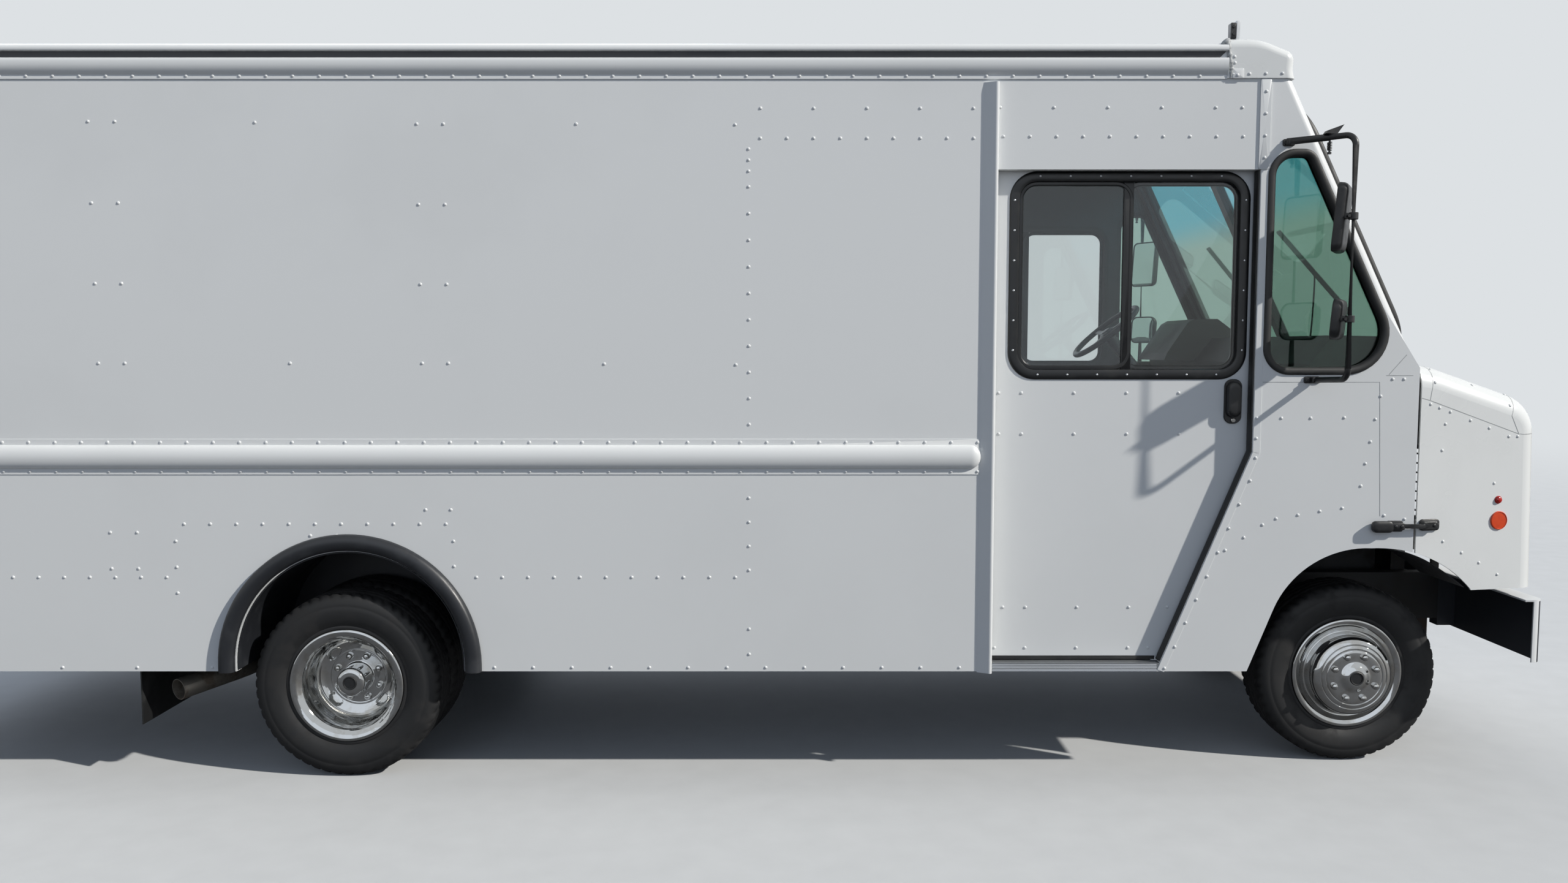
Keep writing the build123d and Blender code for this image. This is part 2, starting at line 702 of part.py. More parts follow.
def hood_form(inset):
    """The hood as a solid, set in by a skin thickness from its outer form."""
    rear_half, front_half = [half_width - (place - cowl_front) * hood_taper - inset
                             for place in (hood_rear, hood_reach)]
    corner = (hood_corner[0] - inset, hood_corner[1] - 0.7 * inset)
    with BuildPart(mode=Mode.PRIVATE) as form:
        with BuildSketch(Plane.XZ.offset(half_width)) as hood_side:
            with BuildLine():
                Polyline(outline([(hood_rear, arch_below), (hood_rear, hood_top[0][1] - inset),
                                  (hood_top[1][0], hood_top[1][1] - inset), corner,
                                  (hood_front_at(arch_below) - inset, arch_below)]), close=True)
            make_face()
            for place, radius in ((corner, hood_corner_round - inset), (hood_top[1], hood_top_round)):
                fillet(hood_side.vertices().sort_by_distance(Vector(fx(place[0]), place[1]))[0], radius)
        extrude(amount=-2 * half_width)
        with BuildSketch(Plane.XY.offset(arch_below)):
            with BuildLine():
                Polyline((fx(hood_rear), rear_half), (fx(hood_reach), front_half),
                         (fx(hood_reach), -front_half), (fx(hood_rear), -rear_half), close=True)
            make_face()
        extrude(amount=2 * hood_top[0][1], mode=Mode.INTERSECT)
        sides = form.edges().filter_by(
            lambda edge: abs(edge.center().Y) > half_width / 2 and edge.center().X > fx(hood_rear) + 5
            and edge.center().Z > arch_below + 5)
        fillet(sides, hood_round - inset)
    return form.part


hood_solid = hood_form(0)
hood_core = hood_form(hood_skin)
front_face_reach = (hood_front_foot[0] - 80, hood_front_foot[0] + 60)

with BuildPart() as hood:
    add(hood_solid)
    add(hood_core, mode=Mode.SUBTRACT)
    block((hood_rear - 50, hood_front_foot[0] + 50), (-half_width, half_width),
          (arch_below - 50, hood_front_foot[1]), mode=Mode.SUBTRACT)
    with BuildSketch(Plane.XZ.offset(half_width + 20)):
        add(front_arch_opening())
    extrude(amount=-2 * (half_width + 20), mode=Mode.SUBTRACT)
    block(front_face_reach, (-grille_y, grille_y), grille_z, mode=Mode.SUBTRACT)
    for name, side in SIDES:
        block(front_face_reach, lamp_y, lamp_z, side, Mode.SUBTRACT)
        block(front_face_reach, lamp_y, signal_z, side, Mode.SUBTRACT)
        block(front_face_reach, (hinge_y[0] - hinge_gap, hinge_y[1] + hinge_gap),
              (arch_below, hood_pivot[1] + hinge_gap), side, Mode.SUBTRACT)
        block((hood_pivot[0] - hinge_half, hood_front_foot[0] - hood_skin / 2),
              (rail_y[0], hinge_y[0] - hinge_gap),
              (hood_pivot[1] - hinge_half, hood_pivot[1] + hinge_half), side)
        with BuildSketch(Plane.XZ.offset(-side * hinge_y[1])) as pin:
            with Locations((fx(hood_pivot[0]), hood_pivot[1])):
                Circle(hinge_pin_radius)
        extrude(pin.sketch, amount=side * (hinge_y[1] - rail_y[0]))
save(hood, "hood")

# Grille and lamps, let into the hood's front face. Rows are (z limits, y limits).
grille_depth = 14
grille_proud = 4
slat_count = 6
slat_frame = 22
slat_gap = 34
lamp_depth = 34
lamp_proud = 7


def let_in(z_span, y_from, y_to, depth, proud):
    """A plate that follows the hood's front face, from a depth behind it to a little proud of it."""
    profile([(hood_front_at(z_span[0]) - depth, z_span[0]), (hood_front_at(z_span[0]) + proud, z_span[0]),
             (hood_front_at(z_span[1]) + proud, z_span[1]), (hood_front_at(z_span[1]) - depth, z_span[1])],
            y_from, y_to)


with BuildPart() as grille:
    let_in(grille_z, grille_y, -grille_y, grille_depth, grille_proud)
    slot_step = (grille_z[1] - grille_z[0] - slat_frame) / slat_count
    for row in range(slat_count):
        slot_z = grille_z[0] + slat_frame + row * slot_step
        for name, side in SIDES:
            block(front_face_reach, (15, grille_y - slat_frame), (slot_z, slot_z + slat_gap), side,
                  Mode.SUBTRACT)
save(grille, "grille")

with BuildPart() as hood_lamps:
    for name, side in SIDES:
        for z_span in (lamp_z, signal_z):
            let_in(z_span, side * lamp_y[1], side * lamp_y[0], lamp_depth, lamp_proud)
save(hood_lamps, "hood_lamps")

# Side doors: they slide back inside the load body's walls
door_inset = 59
door_thickness = 35
door_rear = 2800
door_lap = 25
door_foot_z = 541
door_top_z = 2677
door_window_ahead = (2934, 3900)
door_window_z = (1797, 2620)
door_window_round = 85


def door_window():
    """The window opening of a side door, in the sketch that is open."""
    with Locations((fx(sum(door_window_ahead) / 2), sum(door_window_z) / 2)):
        RectangleRounded(door_window_ahead[1] - door_window_ahead[0], door_window_z[1] - door_window_z[0],
                         door_window_round)


for name, side in SIDES:
    with BuildPart() as side_door:
        foot_ahead = slant_foot + slant * (door_foot_z - sill_z) + door_lap
        profile([(door_rear, door_foot_z), (foot_ahead, door_foot_z), (door_front + door_lap, knee_z),
                 (door_front + door_lap, door_top_z), (door_rear, door_top_z)],
                side * (half_width - door_inset), side * (half_width - door_inset - door_thickness))
        with BuildSketch(side_plane(side, door_inset)):
            door_window()
        extrude(amount=side * door_thickness, mode=Mode.SUBTRACT)
    save(side_door, f"side_door_{name}")

    with BuildPart() as door_glass:
        with BuildSketch(side_plane(side, door_inset + door_thickness / 2 - glass / 2)):
            door_window()
        extrude(amount=side * glass)
    save(door_glass, f"side_door_glass_{name}")

# Rear wall with a pair of swing doors
rear_opening_y = 760
rear_opening_z = (floor_top_z, 2760)
rear_door_y = (4, 752)
rear_door_gap = 6
rear_door_thickness = 35
hinge_heights = (1150, 1850, 2550)
barrel_back = 15
barrel_radius = 9
leaf_thickness = 8
leaf_width = 60
barrel_half = 27
barrel_end = 62
plate_screw_step = 178
plate_screw_radius = 3.5
plate_screw_z = 760


def rear_hinge(side, z_span, leaf_y):
    """One leaf of a rear door's hinge, with its part of the barrel."""
    block((body_rear - leaf_thickness, body_rear), leaf_y, z_span, side)
    with BuildSketch(Plane.XY.offset(z_span[0])) as barrel:
        with Locations((fx(body_rear - barrel_back), side * rear_opening_y)):
            Circle(barrel_radius)
    extrude(barrel.sketch, amount=z_span[1] - z_span[0])


with BuildPart() as rear_frame:
    block((body_rear, frame_rear), cab_span, (sill_z, wall_top_z))
    block((body_rear, frame_rear), (-rear_opening_y, rear_opening_y), rear_opening_z, mode=Mode.SUBTRACT)
    with BuildSketch(Plane.YZ.offset(fx(body_rear))):
        with Locations((plate_screw_step / 2, plate_screw_z), (-plate_screw_step / 2, plate_screw_z)):
            Circle(plate_screw_radius)
    extrude(amount=wall, mode=Mode.SUBTRACT)
    for name, side in SIDES:
        for height in hinge_heights:
            for low, high in ((-barrel_end, -barrel_half - hinge_gap), (barrel_half + hinge_gap, barrel_end)):
                rear_hinge(side, (height + low, height + high),
                           (rear_opening_y - 2, rear_opening_y + leaf_width))
save(rear_frame, "rear_frame")

for name, side in SIDES:
    with BuildPart() as rear_door:
        block((body_rear, body_rear + rear_door_thickness), rear_door_y,
              (rear_opening_z[0] + rear_door_gap, rear_opening_z[1] - rear_door_gap), side)
        for height in hinge_heights:
            rear_hinge(side, (height - barrel_half, height + barrel_half),
                       (rear_opening_y - leaf_width, rear_opening_y + 2))
    save(rear_door, f"rear_door_{name}")

# Bumpers: a plate with a top flange and turned ends at the front, and a step under the rear wall
front_bumper_y = 1120
front_bumper_z = (516, 796)
channel_rear = 5195
channel_wall = 8
bumper_round = 50
bumper_wrap = 5233
bumper_bracket_top = 780
rear_step_y = 1000
rear_step_z = (430, 530)
rear_step_gap = 6
bracket_end = -2100
bracket_top = 488


def bumper_form(front, half, z_span, radius):
    """The bumper's plan as a solid, with rounded front corners."""
    with BuildPart(mode=Mode.PRIVATE) as form:
        block((channel_rear, front), (-half, half), z_span)
        fillet(form.edges().filter_by(Axis.Z).group_by(Axis.X)[-1], radius)
    return form.part


bumper_inside_z = (front_bumper_z[0] - 1, front_bumper_z[1] - channel_wall)
bumper_outside = bumper_form(bumper_front, front_bumper_y, front_bumper_z, bumper_round)
bumper_inside = bumper_form(bumper_front - channel_wall, front_bumper_y - channel_wall, bumper_inside_z,
                            bumper_round - channel_wall)

with BuildPart() as front_bumper:
    add(bumper_outside)
    add(bumper_inside, mode=Mode.SUBTRACT)
    for name, side in SIDES:
        block((channel_rear - 1, bumper_wrap), (front_bumper_y - 2 * channel_wall, front_bumper_y + 1),
              bumper_inside_z, side, Mode.SUBTRACT)
        block((rail_ahead[1], bumper_front - channel_wall), rail_y,
              (front_bumper_z[0] + channel_wall, bumper_bracket_top), side)
save(front_bumper, "front_bumper")

with BuildPart() as rear_bumper:
    block((step_rear, body_rear - rear_step_gap), (-rear_step_y, rear_step_y), rear_step_z)
    for name, side in SIDES:
        block((body_rear - rear_step_gap, bracket_end), rail_y, (rear_step_z[0], bracket_top), side)
        block((rail_ahead[0], bracket_end), rail_y, (bracket_top, rail_z[0]), side)
save(rear_bumper, "rear_bumper")

# Mirrors: a bent tube on two feet, with a tall flat mirror over a small one, both turned to the driver
tube_radius = 12.5
mirror_out = 250
tube_bend = 45
upper_foot = (4063, 2761)
lower_foot = (4203, 1764)
tube_top = (4230, 2755)
tube_foot = (4230, 1772)
foot_depth = 14
tube_start = 12
foot_half = (30, 16)
head_ahead = 4187
head_depth = 42
head_width = 190
head_turn = 31
head_z = ((2290, 2571), (1934, 2101))
clamp_half = 12

with BuildPart() as mirrors:
    for name, side in SIDES:
        for foot in (upper_foot, lower_foot):
            block((foot[0] - foot_half[0], foot[0] + foot_half[0]), (half_width, half_width + foot_depth),
                  (foot[1] - foot_half[1], foot[1] + foot_half[1]), side)
        route = [(fx(ahead), side * (half_width + out), z) for (ahead, z), out in
                 ((upper_foot, tube_start), (tube_top, mirror_out), (tube_foot, mirror_out),
                  (lower_foot, tube_start))]
        with BuildLine() as tube_line:
            FilletPolyline(*route, radius=tube_bend)
        with BuildSketch(Plane(origin=tube_line.line @ 0, z_dir=tube_line.line % 0)):
            Circle(tube_radius)
        sweep(path=tube_line.line)
        for z_span in head_z:
            middle = sum(z_span) / 2
            with Locations(Location((fx(head_ahead), side * (half_width + mirror_out), middle),
                                    (0, 0, side * head_turn))):
                Box(head_depth, head_width, z_span[1] - z_span[0])
            block((head_ahead, tube_top[0]), (half_width + mirror_out - clamp_half,
                                              half_width + mirror_out + clamp_half),
                  (middle - clamp_half, middle + clamp_half), side)
save(mirrors, "mirrors")

# Lamps on the body: five markers on the front cap, five over the rear doors, the tail lamps, and a
# small lamp on an upright bracket at the roof's right front corner
marker_y = (0, 150, -150, 1040, -1040)
marker_half = 45
marker_proud = 18
marker_base = (35, 58)
marker_lens = (37, 56)
cap_face = (Vector(*cap_nose), Vector(*cap_waist))
tail_lamp_y = (900, 1060)
tail_lamp_z = (600, 780)
tail_proud = 14
rear_marker_z = (3062, 3092)
roof_lamp_y = (1100, 1140)
roof_bracket = ((3846, 3860), (cap_top_z, 3278))
roof_lamp = ((3822, 3846), (3205, 3270))

with BuildPart() as body_lamps:
    along = (cap_face[1] - cap_face[0]).normalized()
    outwards = Vector(-along.Y, along.X)
    base, lens = [[cap_face[0] + along * place for place in places] for places in (marker_base, marker_lens)]
    lamp_corners = base + [corner + outwards * marker_proud for corner in reversed(lens)]
    for y in marker_y:
        profile([(corner.X, corner.Y) for corner in lamp_corners], y + marker_half, y - marker_half)
        block((body_rear - marker_proud, body_rear), (y - marker_half, y + marker_half), rear_marker_z)
    for name, side in SIDES:
        block((body_rear - tail_proud, body_rear), tail_lamp_y, tail_lamp_z, side)
    for ahead_span, z_span in (roof_bracket, roof_lamp):
        block(ahead_span, roof_lamp_y, z_span, SIDES[0][1])
save(body_lamps, "body_lamps")

# Fuel tank beside the left rail
tank_round = 60

with BuildPart() as fuel_tank:
    block((900, 1900), (rail_y[1], 990), (520, 800))
    fillet(fuel_tank.edges().filter_by(Axis.X), tank_round)
save(fuel_tank, "fuel_tank")

# Exhaust: down pipe, silencer, and a tail pipe over the axle and out behind the right wheels.
# The tail pipe's route is rows of (ahead, y, z).
exhaust_y = -225
exhaust_z = 590
down_pipe_radius = 35
silencer_radius = 80
silencer_ahead = (1100, 1650)
tail_radius = 48
tail_bore = 44
tail_bend = 100
tail_route = [(1100, exhaust_y, exhaust_z), (-330, exhaust_y, exhaust_z), (-540, -400, 408),
              (-590, -800, 415), (-760, -1085, 386)]
down_pipe_end = 4250

with BuildPart() as exhaust_pipe:
    for radius, rear, front in ((silencer_radius, *silencer_ahead),
                                (down_pipe_radius, silencer_ahead[1], down_pipe_end)):
        with BuildSketch(Plane.YZ.offset(fx(rear))):
            with Locations((exhaust_y, exhaust_z)):
                Circle(radius)
        extrude(amount=front - rear)
    with BuildLine() as tail_line:
        FilletPolyline(*[(fx(ahead), y, z) for ahead, y, z in tail_route], radius=tail_bend)
    with BuildSketch(Plane(origin=tail_line.line @ 0, z_dir=tail_line.line % 0)):
        Circle(tail_radius)
        Circle(tail_bore, mode=Mode.SUBTRACT)
    sweep(path=tail_line.line)
save(exhaust_pipe, "exhaust_pipe")

# Mud flaps behind the rear wheels, hung from the load floor
flap_ahead = (-906, -900)
flap_y = (625, 1125)
flap_foot_z = 240

with BuildPart() as mud_flaps:
    for name, side in SIDES:
        block(flap_ahead, flap_y, (flap_foot_z, floor_foot_z), side)
save(mud_flaps, "mud_flaps")
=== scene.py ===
import math

import bmesh
import bpy
import numpy as np
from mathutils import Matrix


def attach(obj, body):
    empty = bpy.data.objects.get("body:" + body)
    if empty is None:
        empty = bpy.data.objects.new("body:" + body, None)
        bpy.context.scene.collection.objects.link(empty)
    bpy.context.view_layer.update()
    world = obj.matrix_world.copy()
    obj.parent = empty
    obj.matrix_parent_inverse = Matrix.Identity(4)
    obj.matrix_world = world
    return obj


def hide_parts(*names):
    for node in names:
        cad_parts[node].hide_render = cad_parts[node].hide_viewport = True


# A walk-in step van, white, with a riveted body. Shapes are worked out in millimetres as
# (ahead, out, up): ahead of the rear axle, out to the left of the centreline, and up from the ground.

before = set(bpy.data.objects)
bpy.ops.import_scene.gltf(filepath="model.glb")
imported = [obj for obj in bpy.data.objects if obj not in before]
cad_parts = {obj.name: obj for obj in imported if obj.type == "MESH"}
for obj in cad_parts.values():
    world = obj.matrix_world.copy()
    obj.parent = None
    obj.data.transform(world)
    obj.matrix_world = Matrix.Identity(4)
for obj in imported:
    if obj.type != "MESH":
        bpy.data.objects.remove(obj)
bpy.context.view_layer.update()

MM = 0.001
REAR_AXLE_X = -1461.5
WHEELBASE = 4521.0
HUB_Z = 412.0
HALF_WIDTH = 1181.0
BODY_REAR = -2250.0
SILL_Z = 494.0
CAP_REAR = 3795.0
DOOR_FACE = 1122.0
SIDES = (("right", -1.0), ("left", 1.0))


# Forms: each is (points, quads), points being rows of (ahead, out, up)


def grid(points, close_rows=False, close_columns=False):
    """Quads over points laid out in rows and columns: corner (i, j) with (i+1, j), (i+1, j+1), (i, j+1)."""
    rows, columns = points.shape[:2]
    i = np.arange(rows if close_rows else rows - 1)[:, None]
    j = np.arange(columns if close_columns else columns - 1)[None, :]
    i_next, j_next = (i + 1) % rows, (j + 1) % columns
    corners = (i * columns + j, i_next * columns + j, i_next * columns + j_next, i * columns + j_next)
    return points.reshape(-1, 3), np.stack(np.broadcast_arrays(*corners), axis=-1).reshape(-1, 4)


def join(*forms):
    """Several forms as one: the quads of each count on from the points before it."""
    starts = np.cumsum([0] + [len(points) for points, _ in forms[:-1]])
    return (np.concatenate([points for points, _ in forms]),
            np.concatenate([quads + start for (_, quads), start in zip(forms, starts)]))


def copies(form, places, turns=None):
    """A form at many places: point = turn @ point + place, worked out as one array."""
    points, quads = form
    places = np.asarray(places, float).reshape(-1, 3)
    turned = points[None] if turns is None else np.einsum("nij,pj->npi", turns, points)
    starts = np.arange(len(places)) * len(points)
    return ((turned + places[:, None]).reshape(-1, 3),
            (quads[None] + starts[:, None, None]).reshape(-1, quads.shape[1]))


def moved(form, ahead=0.0, out=0.0, up=0.0):
    """A form shifted by (ahead, out, up)."""
    return form[0] + (ahead, out, up), form[1]


def both(form):
    """A form drawn on the left, and its mirror image on the right."""
    return join(form, on_side(form, -1.0))


def on_side(form, side):
    """A form drawn for the left side, put on a side: out is multiplied by the side."""
    points, quads = form
    return points * (1.0, side, 1.0), quads if side > 0 else quads[:, ::-1]


def soften(points, passes=2, closed=False):
    """Cuts the corners of a line of points: each pass puts points at 1/4 and 3/4 of every run."""
    points = np.asarray(points, float)
    for _ in range(passes):
        after = np.roll(points, -1, 0)
        cut = np.stack((0.75 * points + 0.25 * after, 0.25 * points + 0.75 * after), 1)
        cut = cut.reshape(-1, points.shape[1])
        points = cut if closed else np.concatenate((points[:1], cut[1:-3], points[-1:]))
    return points


def rounded(corners, radii, steps=8, closed=True):
    """A polygon with arcs for corners. Each arc touches both edges at radius / tan(half the angle)."""
    corners = np.asarray(corners, float)
    before, after = np.roll(corners, 1, 0) - corners, np.roll(corners, -1, 0) - corners
    if not closed:
        before, after, inner = before[1:-1], after[1:-1], corners[1:-1]
    else:
        inner = corners
    before /= np.linalg.norm(before, axis=1, keepdims=True)
    after /= np.linalg.norm(after, axis=1, keepdims=True)
    half = np.arccos(np.clip((before * after).sum(1), -0.9999, 0.9999)) / 2
    radii = np.broadcast_to(np.asarray(radii, float), half.shape)
    middle = before + after
    middle /= np.linalg.norm(middle, axis=1, keepdims=True)
    centre = inner + middle * (radii / np.sin(half))[:, None]
    reach = (radii / np.tan(half))[:, None]
    start, end = inner + before * reach - centre, inner + after * reach - centre
    sweep = (np.pi - 2 * half)[:, None, None]
    t = np.linspace(0, 1, steps + 1)[None, :, None]
    arc = (np.sin((1 - t) * sweep) * start[:, None] + np.sin(t * sweep) * end[:, None]) / np.sin(sweep)
    points = (centre[:, None] + arc).reshape(-1, corners.shape[1])
    return points if closed else np.concatenate((corners[:1], points, corners[-1:]))


def rectangle(low, high, radius, steps=6):
    """A rectangle between two corners, with rounded corners."""
    (a, b), (c, d) = low, high
    return rounded([(a, b), (c, b), (c, d), (a, d)], radius, steps)


def about_axle(radius, out, t):
    """Points about an axle along out: (radius * cos t, out, radius * sin t)."""
    flat = 0 * (radius + out + t)
    return np.stack((radius * np.cos(t) + flat, out + flat, radius * np.sin(t) + flat), -1)


def lathe(profile, steps, closed=False):
    """Turned about an axle: profile rows are (radius, out)."""
    profile = np.asarray(profile, float)
    t = np.linspace(0, 2 * np.pi, steps, endpoint=False)
    return grid(about_axle(profile[:, :1], profile[:, 1:], t), close_rows=closed, close_columns=True)


def capped(points):
    """Rows of points, with the first and last row closed to its middle."""
    middles = np.repeat(points[[0, -1]].mean(1, keepdims=True), points.shape[1], 1)
    return np.concatenate((middles[:1], points, middles[1:]))


def carry(section, path, up=(0, 0, 1), size=1.0):
    """A closed section carried along a path: point = path + size * (across * side + lift * normal), where
    side = tangent x up and normal = side x tangent. up is one direction, or one for each point, and so is
    size. The ends are closed to their middles."""
    path, section = np.asarray(path, float), np.asarray(section, float)
    size = np.broadcast_to(np.asarray(size, float), len(path))[:, None, None]
    tangent = np.gradient(path, axis=0)
    tangent /= np.linalg.norm(tangent, axis=1, keepdims=True)
    side = np.cross(tangent, up)
    side /= np.linalg.norm(side, axis=1, keepdims=True)
    normal = np.cross(side, tangent)
    away = section[None, :, :1] * side[:, None] + section[None, :, 1:] * normal[:, None]
    return grid(capped(path[:, None] + size * away), close_columns=True)


def strip(path, normals, width, lift):
    """A thin strip that lies on a surface: a flat section carried along a path with the surface's normals."""
    half = width / 2
    return carry([(-half, -0.5), (half, -0.5), (0.7 * half, lift), (-0.7 * half, lift)], path, up=normals)


def between(first, second, radius, at, steps=8):
    """The arc of a rounded edge between two planes, each given as (point, outward normal). Its centre lies
    the radius inside both planes and at a place along one axis, given as (axis number, mm). Each point is
    centre + radius * d, where d turns evenly from one normal to the other. Gives points and normals."""
    (p, n), (q, m) = [(np.asarray(place, float), np.asarray(normal, float) / np.linalg.norm(normal))
                      for place, normal in (first, second)]
    axis = np.eye(3)[at[0]]
    centre = np.linalg.solve(np.stack((n, m, axis)), (p @ n - radius, q @ m - radius, at[1]))
    angle = math.acos(float(n @ m))
    s = np.linspace(0, 1, steps + 1)[:, None]
    turning = (np.sin((1 - s) * angle) * n + np.sin(s * angle) * m) / math.sin(angle)
    return centre + radius * turning, turning


def circle(radius, steps=16):
    """A circle as rows of (across, lift)."""
    t = np.linspace(0, 2 * np.pi, steps, endpoint=False)
    return np.stack((radius * np.cos(t), radius * np.sin(t)), -1)


def edging(outline, section, out, closed=True):
    """A section carried round a flat line in the side's plane. outline rows are (ahead, up) and section
    rows are (away from the line's middle, outwards): point = line + away * normal, out + outwards."""
    outline, section = np.asarray(outline, float), np.asarray(section, float)
    run = np.roll(outline, -1, 0) - np.roll(outline, 1, 0) if closed else np.gradient(outline, axis=0)
    normal = np.stack((run[:, 1], -run[:, 0]), -1)
    normal /= np.linalg.norm(normal, axis=1, keepdims=True)
    if ((outline - outline.mean(0)) * normal).sum() < 0:
        normal = -normal
    flat = outline[:, None] + section[None, :, :1] * normal[:, None]
    points = np.stack((flat[..., 0], out + section[None, :, 1] + 0 * flat[..., 0], flat[..., 1]), -1)
    return grid(points if closed else capped(points), close_rows=closed, close_columns=True)


def stack(outline, levels):
    """A closed flat outline of rows (ahead, up), stacked outwards. Each level is (out, shrink in mm):
    point = middle + (outline - middle) * (1 - shrink / distance from the middle). Both ends are closed."""
    outline = np.asarray(outline, float)
    middle = (outline.min(0) + outline.max(0)) / 2
    away = outline - middle
    reach = np.linalg.norm(away, axis=1)[None, :, None]
    levels = np.asarray(levels, float)
    flat = middle + away[None] * np.clip(1 - levels[:, 1, None, None] / reach, 0, None)
    points = np.concatenate((flat[..., :1], np.broadcast_to(levels[:, 0, None, None], flat[..., :1].shape),
                             flat[..., 1:]), -1)
    return grid(capped(points), close_columns=True)


def slab(low, high, radius, out, edge=2.0):
    """A plate with rounded corners and eased edges, between two (ahead, up) corners and two out places."""
    near, far = out
    ease = edge * math.copysign(1, far - near)
    return stack(rectangle(low, high, radius, 4),
                 [(near, edge), (near + 0.3 * ease, 0.3 * edge), (near + ease, 0),
                  (far - ease, 0), (far - 0.3 * ease, 0.3 * edge), (far, edge)])


def block(ahead, out, up, edge=2.0):
    """A box with eased edges between (low, high) limits along each axis."""
    return slab((ahead[0], up[0]), (ahead[1], up[1]), max(edge, 0.5), out, edge)


def piece(name, body, finish, slot, *forms, replaces=(), smooth_angle=35.0):
    """Makes a form a mesh object in metres: doubles merged, faces turned outwards, on its body."""
    points, quads = join(*forms)
    mesh = bpy.data.meshes.new(name)
    mesh.from_pydata(((points + (REAR_AXLE_X, 0, 0)) * MM).tolist(), [], quads.tolist())
    work = bmesh.new()
    work.from_mesh(mesh)
    bmesh.ops.remove_doubles(work, verts=work.verts, dist=0.02 * MM)
    bmesh.ops.recalc_face_normals(work, faces=work.faces)
    work.to_mesh(mesh)
    work.free()
    mesh.materials.append(finish)
    mesh.shade_smooth()
    mesh.set_sharp_from_angle(angle=math.radians(smooth_angle))
    made = bpy.data.objects.new(name, mesh)
    bpy.context.scene.collection.objects.link(made)
    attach(made, body)
    if replaces:
        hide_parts(*replaces)
    return made


# Materials


def linear(hex_colour):
    """sRGB hex as linear light: c / 12.92 up to 0.04045, and ((c + 0.055) / 1.055) ** 2.4 above it."""
    channels = np.array([int(hex_colour[i:i + 2], 16) for i in (0, 2, 4)]) / 255
    return (*np.where(channels <= 0.04045, channels / 12.92, ((channels + 0.055) / 1.055) ** 2.4), 1.0)


def node(tree, kind, inputs=None, **settings):
    """Adds a shader node. Settings are its properties; inputs are values, or sockets to link, by name or by
    place. The colours of a Mix node are inputs 6 and 7 and output 2."""
    added = tree.nodes.new("ShaderNode" + kind)
    for key, value in settings.items():
        setattr(added, key, value)
    for key, value in (inputs or {}).items():
        if isinstance(value, bpy.types.NodeSocket):
            tree.links.new(value, added.inputs[key])
        else:
            added.inputs[key].default_value = value
    return added


def blank_material(name):
    """A material and its empty node tree."""
    material = bpy.data.materials.new(name)
    material.use_nodes = True
    material.node_tree.nodes.clear()
    return material, material.node_tree


def surface(name, colour, second=None, patch=400.0, rough=(0.3, 0.4), grain=None, grain_lift=0.0, wave=None,
            wave_lift=0.0, stretch=(1, 1, 1), inner_colour=None, inner_limits=(), **shader):
    """A painted, moulded or metal surface. Two tones mix in patches of a real size, roughness varies with
    the same patches, and a fine grain and a broad wave lift the surface. Sizes are in millimetres. A panel
    that has an inner colour shows it on its inner side: where |place| . direction < limit for each pair in
    inner_limits. That inner colour is a lining on the cab and body panels, and painted shade on the bumper."""
    material, tree = blank_material(name)
    object_place = node(tree, "TexCoord").outputs["Object"]
    place = node(tree, "Mapping", {"Vector": object_place, "Scale": stretch}).outputs["Vector"]
    noise = node(tree, "TexNoise", {"Vector": place, "Scale": 1000 / patch, "Detail": 5.0, "Roughness": 0.6})
    patches = {"Value": noise.outputs["Fac"], "From Min": 0.45, "From Max": 0.65}
    mask = node(tree, "MapRange", patches, interpolation_type="SMOOTHSTEP").outputs["Result"]
    tone = node(tree, "Mix", {0: mask, 6: linear(colour), 7: linear(second or colour)}, data_type="RGBA")
    roughness = node(tree, "MapRange", {"Value": mask, "To Min": rough[0], "To Max": rough[1]})
    if inner_limits:
        whole = node(tree, "VectorMath", {0: object_place}, operation="ABSOLUTE").outputs["Vector"]
        inside = 1.0
        for direction, limit in inner_limits:
            reach = node(tree, "VectorMath", {0: whole, 1: direction}, operation="DOT_PRODUCT")
            within = node(tree, "Math", {0: reach.outputs["Value"], 1: limit * MM}, operation="LESS_THAN")
            inside = node(tree, "Math", {0: inside, 1: within.outputs[0]}, operation="MULTIPLY").outputs[0]
        tone = node(tree, "Mix", {0: inside, 6: tone.outputs[2], 7: linear(inner_colour)}, data_type="RGBA")
    values = {"Base Color": tone.outputs[2], "Roughness": roughness.outputs["Result"], **shader}
    normal = None
    for size, lift in ((wave, wave_lift), (grain, grain_lift)):
        if size:
            relief = node(tree, "TexNoise", {"Vector": place, "Scale": 1000 / size, "Detail": 2.0})
            bump = {"Height": relief.outputs["Fac"], "Strength": 1.0, "Distance": lift * MM}
            if normal:
                bump["Normal"] = normal
            normal = node(tree, "Bump", bump).outputs["Normal"]
    if normal:
        values["Normal"] = normal
    shade = node(tree, "BsdfPrincipled", values)
    node(tree, "OutputMaterial", {"Surface": shade.outputs["BSDF"]})
    return material


def white_enamel(name, inner_colour=None, inner_limits=()):
    """Air-dried gloss enamel on riveted aluminium sheet: white, slightly wavy between its rivets."""
    return surface(name, "DEE0E0", "DBDDDD", patch=1400, rough=(0.30, 0.36), grain=3, grain_lift=0.02,
                   wave=380, wave_lift=0.22, inner_colour=inner_colour, inner_limits=inner_limits)


SCREEN_TOP, SCREEN_FOOT = np.array((4079.0, 0, 3029.0)), np.array((4648.0, 0, 1829.0))
screen_up = (SCREEN_TOP - SCREEN_FOOT) / np.linalg.norm(SCREEN_TOP - SCREEN_FOOT)
screen_out = np.array((screen_up[2], 0, -screen_up[0]))
